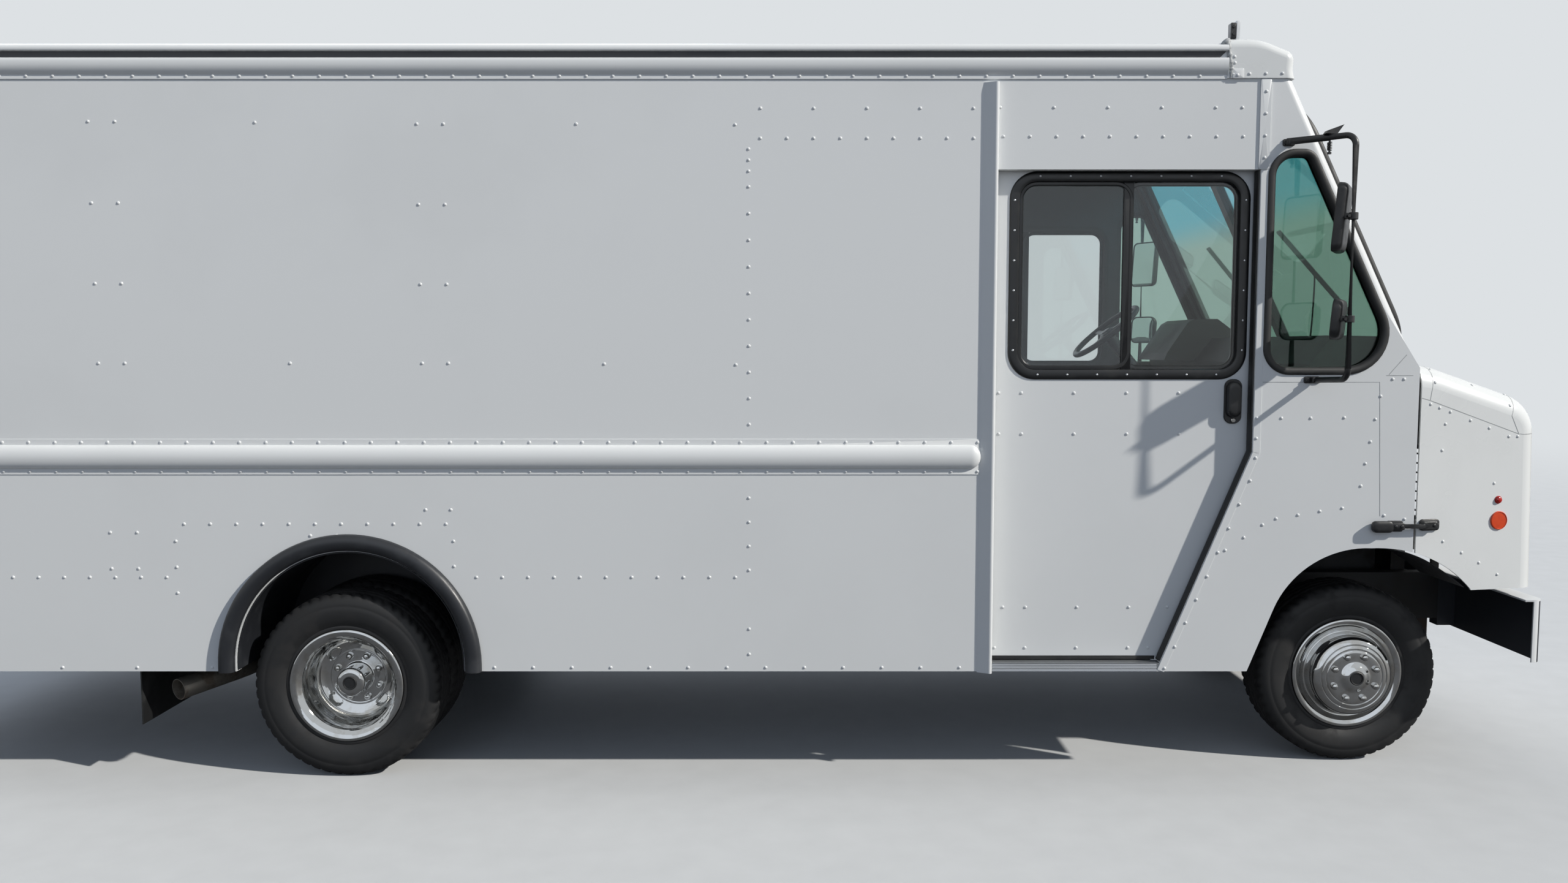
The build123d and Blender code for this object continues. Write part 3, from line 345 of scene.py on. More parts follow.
# A panel's inner side shows its lining: what is nearer to the centreline than WALL_INSIDE or DOOR_INSIDE,
# lower than ROOF_INSIDE, or further behind the rear wall's or windscreen's face than the last two
WALL_INSIDE, DOOR_INSIDE, ROOF_INSIDE = 1137.5, 1089, 3155
REAR_INSIDE, SCREEN_DEPTH = 20, 4
CAB_LINING, LOAD_LINING = "26282A", "8D9093"
enamel = white_enamel("gloss_enamel")
cab_wall_enamel = white_enamel("cab_wall_enamel", CAB_LINING, [((0, 1, 0), WALL_INSIDE)])
load_wall_enamel = white_enamel("load_wall_enamel", LOAD_LINING, [((0, 1, 0), WALL_INSIDE)])
roof_enamel = white_enamel("roof_enamel", CAB_LINING, [((0, 0, 1), ROOF_INSIDE)])
cab_door_enamel = white_enamel("cab_door_enamel", CAB_LINING, [((0, 1, 0), DOOR_INSIDE)])
rear_enamel = white_enamel("rear_enamel", LOAD_LINING, [
    ((1, 0, 0), -BODY_REAR - REAR_AXLE_X - REAR_INSIDE)])
screen_enamel = white_enamel("screen_enamel", CAB_LINING, [
    (tuple(screen_out), float((SCREEN_TOP + (REAR_AXLE_X, 0, 0)) @ screen_out) - SCREEN_DEPTH)])
# The bumper's back and underside are dark grey, painted shade for the shadow in its channel: behind its
# front, inside its sides and below its top
bumper_painted_shade_enamel = white_enamel("bumper_painted_shade_enamel", "34373C", [
    ((1, 0, 0), 5275.5 + REAR_AXLE_X), ((0, 1, 0), 1112.5), ((0, 0, 1), 788.5)])
moulded_enamel = surface(
    # The same enamel over smooth moulded glass fibre, a little brighter and glossier
    "moulded_enamel", "DEE0DF", "DADCDB", patch=700, rough=(0.24, 0.30), grain=4, grain_lift=0.02)
seam_line = surface(
    # Paint shadowed in the fine gap between two panels: mid grey, dull
    "shadowed_seam", "A3A6A6", "8E9192", patch=60, rough=(0.6, 0.7))
sealant = surface(
    # Hand-laid silicone sealant: pale grey, lumpy, a little dirty
    "silicone_sealant", "A9ACAD", "8C8F91", patch=14, rough=(0.5, 0.65), grain=6, grain_lift=1.2)
rubber = surface(
    # Extruded EPDM rubber: black, matt, with a dusty bloom
    "extruded_rubber", "18191A", "232425", patch=90, rough=(0.5, 0.68), grain=1.2, grain_lift=0.05)
flare_rubber = surface(
    # Moulded polyurethane flare: charcoal with a soft sheen
    "moulded_flare", "222428", "2B2D31", patch=160, rough=(0.36, 0.5), grain=1.5, grain_lift=0.04)
tyre_rubber = surface(
    # Vulcanised tyre rubber: charcoal, dull, dusted with road dirt
    "vulcanised_rubber", "141517", "1E1E1F", patch=90, rough=(0.62, 0.82), grain=1.6, grain_lift=0.15)
chrome = surface(
    # Polished stainless wheel liners: a clear mirror with faint water marks
    "polished_stainless", "C3C4C4", "B9B8B5", patch=45, rough=(0.04, 0.10), Metallic=1.0)
black_plastic = surface(
    # Textured black ABS moulding
    "textured_abs", "151618", "1D1E20", patch=60, rough=(0.38, 0.5), grain=0.9, grain_lift=0.06)
black_paint = surface(
    # Satin black powder coat on formed steel
    "powder_coat", "121315", "1A1B1C", patch=120, rough=(0.3, 0.42), grain=1.4, grain_lift=0.04)
chassis_paint = surface(
    # Chassis black, under a film of road dust
    "chassis_black", "17181A", "2C2A27", patch=260, rough=(0.5, 0.75), grain=4, grain_lift=0.2)
cast_iron = surface(
    # Sand-cast iron with thin black paint and flash rust
    "sand_cast_iron", "211F1E", "3A2E26", patch=110, rough=(0.6, 0.82), grain=2.2, grain_lift=0.3)
aluminium = surface(
    # Mill-finish extruded aluminium, drawn along its length
    "extruded_aluminium", "B9BCC0", "A6A9AD", patch=25, rough=(0.28, 0.42), stretch=(0.05, 1, 1),
    Metallic=0.9)
steel_pipe = surface(
    # Aluminised steel pipe, browned by heat
    "aluminised_steel", "A39D94", "776C62", patch=90, rough=(0.42, 0.62), grain=2, grain_lift=0.1,
    Metallic=0.75)
vinyl = surface(
    # Calendered seat vinyl with a leather grain
    "seat_vinyl", "1D1E21", "26272A", patch=140, rough=(0.42, 0.55), grain=2.4, grain_lift=0.25)
cab_lining = surface(
    # Grey moulded cab trim
    "moulded_trim", "2A2C2E", "323436", patch=180, rough=(0.5, 0.62), grain=1.5, grain_lift=0.12)
engine_paint = surface(
    # Grey engine enamel on a cast block
    "engine_enamel", "3A3C3E", "2B2926", patch=150, rough=(0.5, 0.7), grain=3, grain_lift=0.3)
mirror_glass = surface(
    # Silvered mirror glass
    "silvered_glass", "E6E9EA", rough=(0.02, 0.04), Metallic=1.0)
red_lens = surface(
    # Moulded acrylic lens, red
    "red_acrylic", "B01A12", "9C130E", patch=20, rough=(0.12, 0.2), grain=3, grain_lift=0.25)
amber_lens = surface(
    # Moulded acrylic lens, amber
    "amber_acrylic", "E07A14", "CF6A0E", patch=20, rough=(0.12, 0.2), grain=3, grain_lift=0.25)
reflector = surface(
    # Cube-corner reflector: orange-red acrylic
    "reflector_acrylic", "D4481C", "C43A14", patch=8, rough=(0.2, 0.34), grain=3, grain_lift=0.3)
floor_plate = surface(
    # Aluminium floor plate, scuffed
    "floor_plate", "9DA0A3", "85888B", patch=220, rough=(0.34, 0.5), grain=18, grain_lift=0.5, Metallic=0.8)


SHADE_BAND, SCREEN_HALF = (2450, 2640), 1120


def glass(name, tint, band=None):
    """Float glass, clear or green. A windscreen's shade band mixes in over SHADE_BAND, on what lies between
    the two cowl sides."""
    material, tree = blank_material(name)
    colour = linear(tint)
    if band:
        place = node(tree, "TexCoord").outputs["Object"]
        place = node(tree, "SeparateXYZ", {"Vector": place})
        height = node(tree, "MapRange", {
            "Value": place.outputs["Z"], "From Min": SHADE_BAND[0] * MM, "From Max": SHADE_BAND[1] * MM},
            interpolation_type="SMOOTHSTEP")
        across = node(tree, "Math", {0: place.outputs["Y"]}, operation="ABSOLUTE")
        inside = node(tree, "Math", {0: across.outputs[0], 1: SCREEN_HALF * MM}, operation="LESS_THAN")
        shade = node(tree, "Math", {0: height.outputs["Result"], 1: inside.outputs[0]}, operation="MULTIPLY")
        colour = node(tree, "Mix", {0: shade.outputs[0], 6: linear(tint), 7: linear(band)},
                      data_type="RGBA").outputs[2]
    shader = node(tree, "BsdfPrincipled", {
        "Base Color": colour, "Roughness": 0.0, "IOR": 1.45, "Transmission Weight": 1.0})
    node(tree, "OutputMaterial", {"Surface": shader.outputs["BSDF"]})
    return material


door_glass = glass("door_glass", "E9EDEC")
screen_glass = glass("screen_glass", "A9C4B7", "6FC3D2")
clear_lens = glass("clear_polycarbonate", "F2F4F4")

# What each CAD node is made of. Those that a piece replaces below aren't shown.
node_finishes = {
    enamel: ("roof_rails", "door_pillars", "rub_rails"),
    load_wall_enamel: ("side_panel_right", "side_panel_left"),
    cab_wall_enamel: ("door_headers", "cowl_side_right", "cowl_side_left"),
    cab_door_enamel: ("side_door_right", "side_door_left"),
    roof_enamel: ("roof",),
    rear_enamel: ("rear_frame", "rear_door_right", "rear_door_left"),
    screen_enamel: ("windscreen_frame",),
    bumper_painted_shade_enamel: ("front_bumper",),
    moulded_enamel: ("front_cap", "hood"),
    floor_plate: ("cargo_floor", "cab_floor"),
    chassis_paint: ("chassis_frame", "firewall", "radiator", "rear_bumper", "fuel_tank"),
    cast_iron: ("rear_axle", "front_axle", "knuckle_right", "knuckle_left"),
    engine_paint: ("engine_block",),
    steel_pipe: ("exhaust_pipe",),
    rubber: ("mud_flaps", "rear_flares"),
    tyre_rubber: ("tyre_front_right", "tyre_front_left", "tyres_rear_right", "tyres_rear_left"),
    chrome: ("rim_front_right", "rim_front_left", "rims_rear_right", "rims_rear_left"),
    black_plastic: ("steering_wheel", "mirrors", "grille"),
    cab_lining: ("dashboard",),
    vinyl: ("driver_seat",),
    amber_lens: ("hood_lamps", "body_lamps"),
    door_glass: ("side_door_glass_right", "side_door_glass_left"),
    screen_glass: ("cab_glass",),
}
for finish, names in node_finishes.items():
    for name in names:
        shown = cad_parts[name]
        shown.data.materials.clear()
        shown.data.materials.append(finish)
        for material_slot in shown.material_slots:
            material_slot.material = finish


# Forms drawn as (across, out, up), which face another way

BACK = ((0, 1, 0), (-1, 0, 0), (0, 0, 1))
UPRIGHT = ((1, 0, 0), (0, 0, -1), (0, 1, 0))
SCREEN = ((0, 1, 0), tuple(screen_out), tuple(screen_up))
CAP_FACE = ((0, 1, 0), (0.997, 0, -0.0767), (0.0767, 0, 0.997))


def on_side_across(form, side):
    """A form drawn as (across, out, up), mirrored across for the right side."""
    points, quads = form
    return points * (side, 1.0, 1.0), quads if side > 0 else quads[:, ::-1]


def lathe_up(profile, place):
    """Turned about an upright axle: profile rows are (radius, up), round a place given as (across, out)."""
    profile = np.asarray(profile, float)
    t = np.linspace(0, 2 * np.pi, 16, endpoint=False)
    radius, up = profile[:, :1], profile[:, 1:]
    return grid(np.stack((place[0] + radius * np.cos(t), place[1] + radius * np.sin(t), up + 0 * t), -1),
                close_columns=True)


def framed(form, directions, place=(0, 0, 0)):
    """A form drawn as (across, out, up), set in another frame: point = place + the three times their
    directions, which are at right angles."""
    return form[0] @ np.asarray(directions, float) + np.asarray(place, float), form[1]


# Wheels

TYRE_RADIUS, TREAD_HALF, TREAD_PITCHES = 412, 90, 52
GROOVE_DEPTH, SLOT_DEPTH, GROOVES_AT = 8, 7, (-57, -20, 20, 57)
half_sidewall = [(250, 97), (254, 106), (262, 108), (268, 105), (276, 110), (288, 116), (300, 120),
                 (318, 123.2), (336, 124), (352, 123), (356, 121), (360, 121.5), (372, 119.5), (384, 115.5),
                 (394, 110), (402, 103), (408, 94)]


def tyre():
    """A road tyre. radius = profile(out) - depth, where depth is GROOVE_DEPTH in four wavy grooves round the
    tread, and SLOT_DEPTH in one slot per pitch across each shoulder, skewed by 0.012 pitches per mm out."""
    tread_out = np.linspace(TREAD_HALF, -TREAD_HALF, 37)
    crown = TYRE_RADIUS - 3.2 * (np.abs(tread_out) / TREAD_HALF) ** 2.2
    sidewall = np.array(half_sidewall, float)
    profile = np.concatenate((sidewall, np.stack((crown, tread_out), -1), sidewall[::-1] * (1, -1)))
    t = np.linspace(0, 2 * np.pi, TREAD_PITCHES * 6, endpoint=False)
    radius, out = profile[:, :1], profile[:, 1:]
    wiggle = 2.5 * np.sin(TREAD_PITCHES * t)
    ring_groove = sum(np.exp(-((out - wiggle - middle) / 5.0) ** 4) for middle in GROOVES_AT)
    phase = (TREAD_PITCHES * t / (2 * np.pi) + 0.012 * out) % 1
    slot = np.exp(-((phase - 0.5) / 0.16) ** 4) * ((np.abs(out) > 60) & (radius > 395))
    depth = GROOVE_DEPTH * np.clip(ring_groove * (radius > 407), 0, 1) + 0 * t
    radius = radius - np.maximum(depth, SLOT_DEPTH * slot * np.clip((radius - 393) / 12, 0, 1))
    return grid(about_axle(radius, out, t), close_rows=True, close_columns=True)


def pocketed(profile, holes, hole_radius, half_size, depth):
    """A turned disc with oval pockets: out = profile - depth * fall(e), where e is the distance from a hole's
    middle divided by its half size, along the circle and across it. fall is 1 up to 0.78 and 0 from 1 on."""
    t = np.linspace(0, 2 * np.pi, 192, endpoint=False)
    radius, out = profile[:, :1], profile[:, 1:]
    angles = 2 * np.pi * (np.arange(holes) + 0.5) / holes
    gap = (t[None] - angles[:, None] + np.pi) % (2 * np.pi) - np.pi
    along, beside = gap[:, None] * radius / half_size[0], (radius - hole_radius) / half_size[1]
    e = np.sqrt(along ** 2 + beside ** 2).min(0)
    fall = np.clip((1.0 - e) / 0.22, 0, 1)
    fall = fall * fall * (3 - 2 * fall)
    return grid(about_axle(radius, out - depth * fall, t), close_columns=True)


def around(form, circle_radius, count, out):
    """Copies of a form round an axle, at angle = (k + 0.5) * 2 pi / count."""
    return copies(form, about_axle(circle_radius, out, 2 * np.pi * (np.arange(count) + 0.5) / count))


def painted_shade_hand_holes(count, angle):
    """Dark ovals on the wall of the front liner's dome, standing in for hand holes: their black is partly the
    barrel's paint behind and partly painted shade inside the holes. With r and f a disc's radius and angle,
    t = middle + angle / 2 * r * cos(f) and out = 138 + 19 * r * sin(f), at a radius just over the wall."""
    r = np.concatenate((np.linspace(0, 1, 7), np.linspace(1, 0, 3)))[:, None]
    f = np.linspace(0, 2 * np.pi, 32, endpoint=False)[None]
    out = 138 + 19 * r * np.sin(f)
    wall = np.interp(out, (112, 135, 152, 163), (185, 183.5, 181.5, 177)) + 0.9 - 1.4 * r ** 8
    wall[7:] -= 4
    forms = []
    for k in range(count):
        t = np.radians(45 + 360 / count * k) + math.radians(angle / 2) * r * np.cos(f)
        forms.append(grid(about_axle(wall, out, t), close_columns=True))
    return join(*forms)


def dense(profile):
    """More rows on a profile: each run is divided in six."""
    t = np.linspace(0, 1, 6, endpoint=False)[None, :, None]
    inner = (profile[:-1, None] * (1 - t) + profile[1:, None] * t).reshape(-1, 2)
    return np.concatenate((inner, profile[-1:]))


lug_cap = lathe(soften([(15.5, -6), (15.5, 8), (14, 14), (9, 19), (0, 21)], 2), 16)
rim_lip = [(250, 98), (252, 104), (252, 110), (248, 114), (240, 115.5), (232, 113.5), (224, 111)]
front_liner = rim_lip + [
    (218, 107), (212, 100), (205, 95), (194, 93), (188, 98), (185, 112), (183.5, 135), (181.5, 152),
    (177, 163), (170, 171), (161, 177), (152, 180.5), (149.5, 180.5), (148, 178.5), (146.5, 178.5),
    (145, 181.5), (134, 184), (128.5, 184.5), (127, 182.5), (125.5, 182.5), (124, 185.5), (108, 188),
    (78, 189), (68, 190), (60, 194), (50, 201), (40, 205.5), (34, 207), (0, 207)]
rear_liner = rim_lip + [
    (216, 104), (206, 96), (199, 84), (196, 60), (194, 20), (191, 0), (184, -16), (172, -30), (154, -40),
    (136, -45), (128, -47), (124, -45), (118, -47), (72, -47), (67, -44), (66, -30), (66, 48), (63, 58),
    (56, 64), (44, 68), (0, 69)]
badge_ring = [(31, -3), (31, 3), (28, 5), (25, 4), (24, 1.5), (0, 1.5), (0, -3)]
barrel_section = [(238, 98), (236, 60), (226, 0), (236, -60), (240, -98), (250, -104), (253, -110),
                  (250, -114), (246, -110), (238, -100), (228, -60), (218, 0), (228, 60), (232, 98)]
front_web = [(0, 84), (216, 84), (216, 60), (120, 40), (95, 30), (0, 30)]
rear_web = [(0, -66), (216, -66), (216, -130), (120, -150), (100, -400), (0, -400)]
FRONT_HUB_OUT, TWINS_OUT = 800.0, (1009.5, 739.5)
LUG_CIRCLE, LUGS, FRONT_LUGS_OUT, REAR_LUGS_OUT = 101, 8, 188, -47


def on_hub(form, side, ahead, out):
    """A form drawn facing left about the origin, put at a hub and facing out on its side."""
    return moved(on_side(form, side), ahead, side * out, HUB_Z)


tyre_form, barrel, badge = tyre(), lathe(barrel_section, 64, closed=True), lathe(badge_ring, 32)
front_disc = join(lathe(soften(front_liner, 2), 128), around(lug_cap, LUG_CIRCLE, LUGS, FRONT_LUGS_OUT))
# The dark ovals in the front core stand in for the liner's hand holes: the barrel's black, and painted shade
# inside the holes
front_core = join(barrel, lathe(front_web, 64), painted_shade_hand_holes(count=4, angle=30), moved(badge, out=207))
rear_face = pocketed(dense(soften(rear_liner, 1)), holes=4, hole_radius=150, half_size=(36, 20), depth=18)
rear_disc = join(rear_face, around(lug_cap, LUG_CIRCLE, LUGS, REAR_LUGS_OUT))
rear_core = join(barrel, moved(barrel, out=TWINS_OUT[1] - TWINS_OUT[0]), lathe(rear_web, 64),
                 moved(badge, out=69))
for name, side in SIDES:
    front, rear = f"wheel_front_{name}", f"wheels_rear_{name}"
    at_front = (side, WHEELBASE, FRONT_HUB_OUT)
    at_rear, at_inner = [(side, 0, out) for out in TWINS_OUT]
    piece(f"front_tyre_{name}", front, tyre_rubber, "tyre_rubber", on_hub(tyre_form, *at_front),
          replaces=(f"tyre_front_{name}",), smooth_angle=50)
    piece(f"rear_tyres_{name}", rear, tyre_rubber, "tyre_rubber",
          on_hub(tyre_form, *at_rear), on_hub(tyre_form, *at_inner),
          replaces=(f"tyres_rear_{name}",), smooth_angle=50)
    piece(f"front_wheel_liner_{name}", front, chrome, "chrome_plate", on_hub(front_disc, *at_front),
          replaces=(f"rim_front_{name}",))
    piece(f"front_barrel_{name}", front, chassis_paint, "chassis_paint", on_hub(front_core, *at_front))
    piece(f"rear_wheel_liner_{name}", rear, chrome, "chrome_plate", on_hub(rear_disc, *at_rear),
          replaces=(f"rims_rear_{name}",))
    piece(f"rear_barrels_{name}", rear, chassis_paint, "chassis_paint", on_hub(rear_core, *at_rear))


# Rivets: domed heads in rows, drawn for the left side

rivet = lathe([(7.2, -0.5), (7.0, 0.8), (5.6, 2.6), (3.0, 3.7), (0, 4.0)], 8)
SIDE_RIVET_ROWS = [
    # first (ahead, up), last (ahead, up), count, distance out
    ((-2143, 3038), (3680, 3038), 53, 1186), ((3818, 3045), (4025, 3048), 4, 1190),
    ((-2105, 1496), (2767, 1496), 44, 1184), ((-2105, 1370), (2767, 1370), 44, 1184),
    ((-998, 1835), (-998, 2851), 4, 1181), ((-885, 1835), (-885, 2851), 4, 1181),
    ((-1690.5, 1835), (-1690.5, 2851), 4, 1181),
    ((387, 1835), (387, 2841), 4, 1181), ((499, 1835), (499, 2841), 4, 1181),
    ((-979, 947), (-979, 1105), 2, 1181), ((-863, 947), (-863, 1105), 2, 1181),
    ((387, 1204), (496, 1204), 2, 1181), ((-697, 840), (-697, 1067), 3, 1181),
    ((505, 957), (505, 1067), 2, 1181), ((-295, 2847), (1059, 2841), 2, 1181),
    ((-178, 1835), (1166, 1832), 2, 1181), ((1729, 1829), (1729, 2838), 2, 1181),
    ((-2186, 909), (-742, 909), 14, 1181), ((601, 909), (1724, 909), 11, 1181),
    ((-658, 1142), (474, 1142), 11, 1181), ((-114, 1091), (-1, 1091), 2, 1181),
    ((-2190, 511), (-560, 511), 6, 1181), ((672, 511), (2700, 511), 13, 1181),
    ((1785, 1573), (1785, 2580), 10, 1181), ((1785, 2645), (1785, 2737), 3, 1181),
    ((1783, 570), (1783, 681), 2, 1181), ((1783, 940), (1783, 1255), 4, 1181),
    ((1836, 2906), (2733, 2906), 5, 1181), ((1835, 2782), (2735, 2782), 9, 1181),
    ((2860, 2789), (3872, 2789), 10, 1181), ((2845, 2909), (3753, 2909), 5, 1181),
    ((-2205, 620), (-2205, 2960), 20, 1181), ((3962, 2700), (3962, 2975), 4, 1187),
]
SIDE_RIVETS = [
    # single rivets as (ahead, up, distance out)
    (3865, 2909, 1181), (3836, 3040, 1193), (3822, 3116, 1190), (3824, 3091, 1190), (4070, 1600, 1181),
    (4196, 1600, 1181), (4340, 1602, 1181), (4474, 1595, 1181), (4493, 1694, 1181), (4456, 1498, 1181),
    (4438, 1404, 1181), (4422, 1307, 1181), (4345, 1211, 1181), (4249, 1197, 1181), (4155, 1181, 1181),
    (4061, 1165, 1181), (4003, 1138, 1181), (3924, 1083, 1181), (3845, 1027, 1181), (4527, 1179, 1181),
    (4616, 1163, 1181), (4542, 1767, 1181), (4591, 1767, 1181), (3964, 1600, 1183), (3964, 1513, 1183),
    (3964, 1429, 1183), (3943, 1330, 1183), (3900, 1228, 1183), (3857, 1123, 1183), (3813, 1018, 1183),
    (3769, 913, 1183), (3725, 811, 1183), (3681, 709, 1183), (3637, 603, 1183), (3594, 508, 1183),
]
row_places = [np.linspace((a, out, b), (c, out, d), count)
              for (a, b), (c, d), count, out in SIDE_RIVET_ROWS]
side_places = np.concatenate(row_places + [np.array(SIDE_RIVETS, float)[:, [0, 2, 1]]])
piece("side_rivets", "van", enamel, "white_enamel", both(copies(rivet, side_places)))

DOOR_RIVETS = [
    # height, places ahead
    (1706, (2865, 2964, 3192, 3420, 3646)), (1528, (2868, 2967, 3195, 3424, 3651)),
    (765, (2896, 2996, 3222, 3450, 3619)), (584, (2862, 2996, 3222, 3450, 3538)),
]
door_places = [(ahead, DOOR_FACE, z) for z, places in DOOR_RIVETS for ahead in places]

# The hood's sides turn inwards by the taper, from its joint with the cowl on
HOOD_JOINT, HOOD_TAPER = 4657, math.radians(10.5)
HOOD_RIVETS = [(4715, 1659), (4759, 1643), (4811, 1625), (4790, 1573), (4910, 1587), (5003, 1553),
               (4779, 1459), (5101, 1515), (5144, 1515), (5039, 1311), (4801, 1061), (4894, 1009),
               (4981, 962), (5074, 907)]


def hood_out(ahead):
    """How far out the hood's flat side is at a distance ahead."""
    return HALF_WIDTH - (np.asarray(ahead, float) - HOOD_JOINT) * math.tan(HOOD_TAPER)


def on_hood(form, places):
    """A form at (ahead, up) places on the hood's flat side, turned with it."""
    places = np.asarray(places, float).reshape(-1, 2)
    c, s = math.cos(HOOD_TAPER), math.sin(HOOD_TAPER)
    turn = np.broadcast_to(np.array([[c, s, 0], [-s, c, 0], [0, 0, 1]]), (len(places), 3, 3))
    return copies(form, np.stack((places[:, 0], hood_out(places[:, 0]), places[:, 1]), -1), turn)


piece("hood_rivets", "hood", moulded_enamel, "white_enamel", both(on_hood(rivet, HOOD_RIVETS)))

# The hood's three mouldings meet in fine lines. Each plane is (a point on it, its outward normal).
HOOD_SIDE = ((HOOD_JOINT, HALF_WIDTH, 1000), (math.sin(HOOD_TAPER), math.cos(HOOD_TAPER), 0))
HOOD_TOP = ((4750, 0, 1815), (0.3206, 0, 1))
HOOD_REAR_TOP = ((4670, 0, 1828), (0.1625, 0, 1))
HOOD_FRONT = ((5268, 0, 842), (1, 0, 0.027))
HOOD_ROUND = 95.0


def side_run(corners, steps=12):
    """A line on the hood's flat side through (ahead, up) corners, with its normals."""
    corners = np.asarray(corners, float)
    at = np.linspace(0, len(corners) - 1, steps * (len(corners) - 1) + 1)
    ahead, up = [np.interp(at, np.arange(len(corners)), corners[:, column]) for column in (0, 1)]
    normals = np.broadcast_to(np.array(HOOD_SIDE[1]), (len(at), 3))
    return np.stack((ahead, hood_out(ahead), up), -1), normals


def joined(*runs):
    """Several runs of (points, normals) as one, without repeated points."""
    points, normals = [np.concatenate([run[part] for run in runs]) for part in (0, 1)]
    fresh = np.concatenate(([True], np.linalg.norm(np.diff(points, axis=0), axis=1) > 0.5))
    return points[fresh], normals[fresh]


def to_far_side(run):
    """A run that ends on top or in front, carried on straight to the centreline and mirrored beyond it."""
    points, normals = run
    middle = np.array([points[-1] * (1, 0, 1)])
    flat = normals[-1:] * (1, 0, 1)
    return (np.concatenate((points, middle, points[::-1] * (1, -1, 1))),
            np.concatenate((normals, flat, normals[::-1] * (1, -1, 1))))


hood_lines = []
for foot, plane, ahead in (((4712, 1677), HOOD_REAR_TOP, 4703), ((5149, 1526), HOOD_TOP, 5094)):
    arc = between(HOOD_SIDE, plane, HOOD_ROUND, (0, ahead))
    hood_lines.append(to_far_side(joined(side_run([foot, arc[0][0, [0, 2]]], 3), arc)))
waist = side_run([(4672, 1686), (4707, 1677), (5149, 1526), (5158, 1526)])
hood_lines.append(to_far_side(joined(waist, between(HOOD_SIDE, HOOD_FRONT, HOOD_ROUND, (2, 1523.5)))))
piece("hood_seams", "hood", seam_line, "white_enamel",
      *[strip(*line, width=3.4, lift=0.7) for line in hood_lines])

# Rivets on the hood's rounded edge: the plane it turns to, the place ahead, and steps of ten along the arc
edge_rivets = []
for plane, ahead, steps in ((HOOD_REAR_TOP, 4714, (2, 7)), (HOOD_TOP, 5078, (3, 8)), (HOOD_TOP, 4900, (6,))):
    places, normals = between(HOOD_SIDE, plane, HOOD_ROUND, (0, ahead), 10)
    for k in steps:
        sideways = np.cross(normals[k], (0, 0, 1.0))
        sideways /= np.linalg.norm(sideways)
        directions = (sideways, normals[k], np.cross(sideways, normals[k]))
        edge_rivets.append(framed(rivet, directions, places[k]))
piece("hood_edge_rivets", "hood", moulded_enamel, "white_enamel", both(join(*edge_rivets)))


# Rub rails: a half-round bead with a rounded front end, between two flanges

BEAD_OUT, BEAD_UP, BEAD_DEPTH, BEAD_HALF = 1183.5, 1433, 27, 51
BEAD_ROUND_FROM, BEAD_ROUND = 2736, 45


def rub_bead():
    """A half ellipse: out = BEAD_OUT + BEAD_DEPTH * e * cos(t), up = BEAD_UP + BEAD_HALF * e * sin(t), where
    e = sqrt(1 - s ** 2) and s runs from 0 to 1 over the rounded front end."""
    t = np.linspace(-np.pi / 2, np.pi / 2, 17)[None]
    s = np.concatenate(([0], np.sin(np.linspace(0, np.pi / 2, 9))))[:, None]
    ahead = np.concatenate(([BODY_REAR], BEAD_ROUND_FROM + BEAD_ROUND * s[1:, 0]))[:, None]
    e = np.sqrt(np.clip(1 - s ** 2, 0, 1))
    out, up = BEAD_OUT + BEAD_DEPTH * e * np.cos(t), BEAD_UP + BEAD_HALF * e * np.sin(t)
    return grid(np.stack((ahead + 0 * t, out, up), -1))


rub_flange = block((BODY_REAR, 2779), (1181, 1184), (1357, 1509), edge=1.2)
piece("rub_rails_riveted", "van", enamel, "white_enamel", both(join(rub_bead(), rub_flange)),
      replaces=("rub_rails",), smooth_angle=50)


# Rear flares: a rounded lip carried round the arch

ARCH_AHEAD, ARCH_UP, FLARE_RADIUS = 44, 525, 538
FLARE_SECTION = soften([(35, 0), (35, 8), (31, 24), (18, 34), (-4, 36), (-24, 31), (-36, 18), (-38, 0)],
                       2, closed=True)


def arch_line(radius, foot, steps):
    """A half circle over the rear wheel as (ahead, up), with both ends carried down to a height."""
    t = np.linspace(0, np.pi, steps)
    curve = np.stack((ARCH_AHEAD + radius * np.cos(t), ARCH_UP + radius * np.sin(t)), -1)
    return np.concatenate(([(ARCH_AHEAD + radius, foot)], curve, [(ARCH_AHEAD - radius, foot)]))


flare = edging(arch_line(FLARE_RADIUS, SILL_Z, 49), FLARE_SECTION, HALF_WIDTH, closed=False)
piece("wheel_arch_flares", "van", flare_rubber, "moulded_rubber", both(flare), replaces=("rear_flares",),
      smooth_angle=60)


# Windows: outer frames, sliding sashes and rubber gaskets

DOOR_WINDOW = rectangle((2934, 1797), (3900, 2620), 85, 10)
FRAME_SECTION = soften([(-12, -34), (-12, 1), (-8, 7), (10, 8), (28, 7), (33, 2), (33, 0), (2, 0), (-4, -34)],
                       1, closed=True)
INNER_SECTION = [(-12, -35), (24, -35), (24, -40), (-6, -41), (-12, -39)]
SASH_SECTION = soften([(-12, -8), (-12, 8), (8, 8), (8, -8)], 1, closed=True)
screw = lathe([(5, -0.5), (4.8, 1.2), (3.4, 2.4), (0, 2.8)], 10)
screw_spots = np.array([(ahead, z) for z in (1785, 2632) for ahead in np.linspace(3030, 3804, 7)]
                       + [(ahead, z) for ahead in (2922, 3912) for z in np.linspace(1890, 2530, 6)])
screws = copies(screw, np.insert(screw_spots, 1, DOOR_FACE + 7.6, axis=1))
window_frame = join(edging(DOOR_WINDOW, FRAME_SECTION, DOOR_FACE),
                    edging(DOOR_WINDOW, INNER_SECTION, DOOR_FACE),
                    edging(rectangle((2950, 1813), (3428, 2604), 68, 8), SASH_SECTION, 1108),
                    edging(rectangle((3402, 1813), (3884, 2604), 68, 8), SASH_SECTION, 1098),
                    block((3394, 3436), (1092, 1114), (1800, 2618), edge=3))
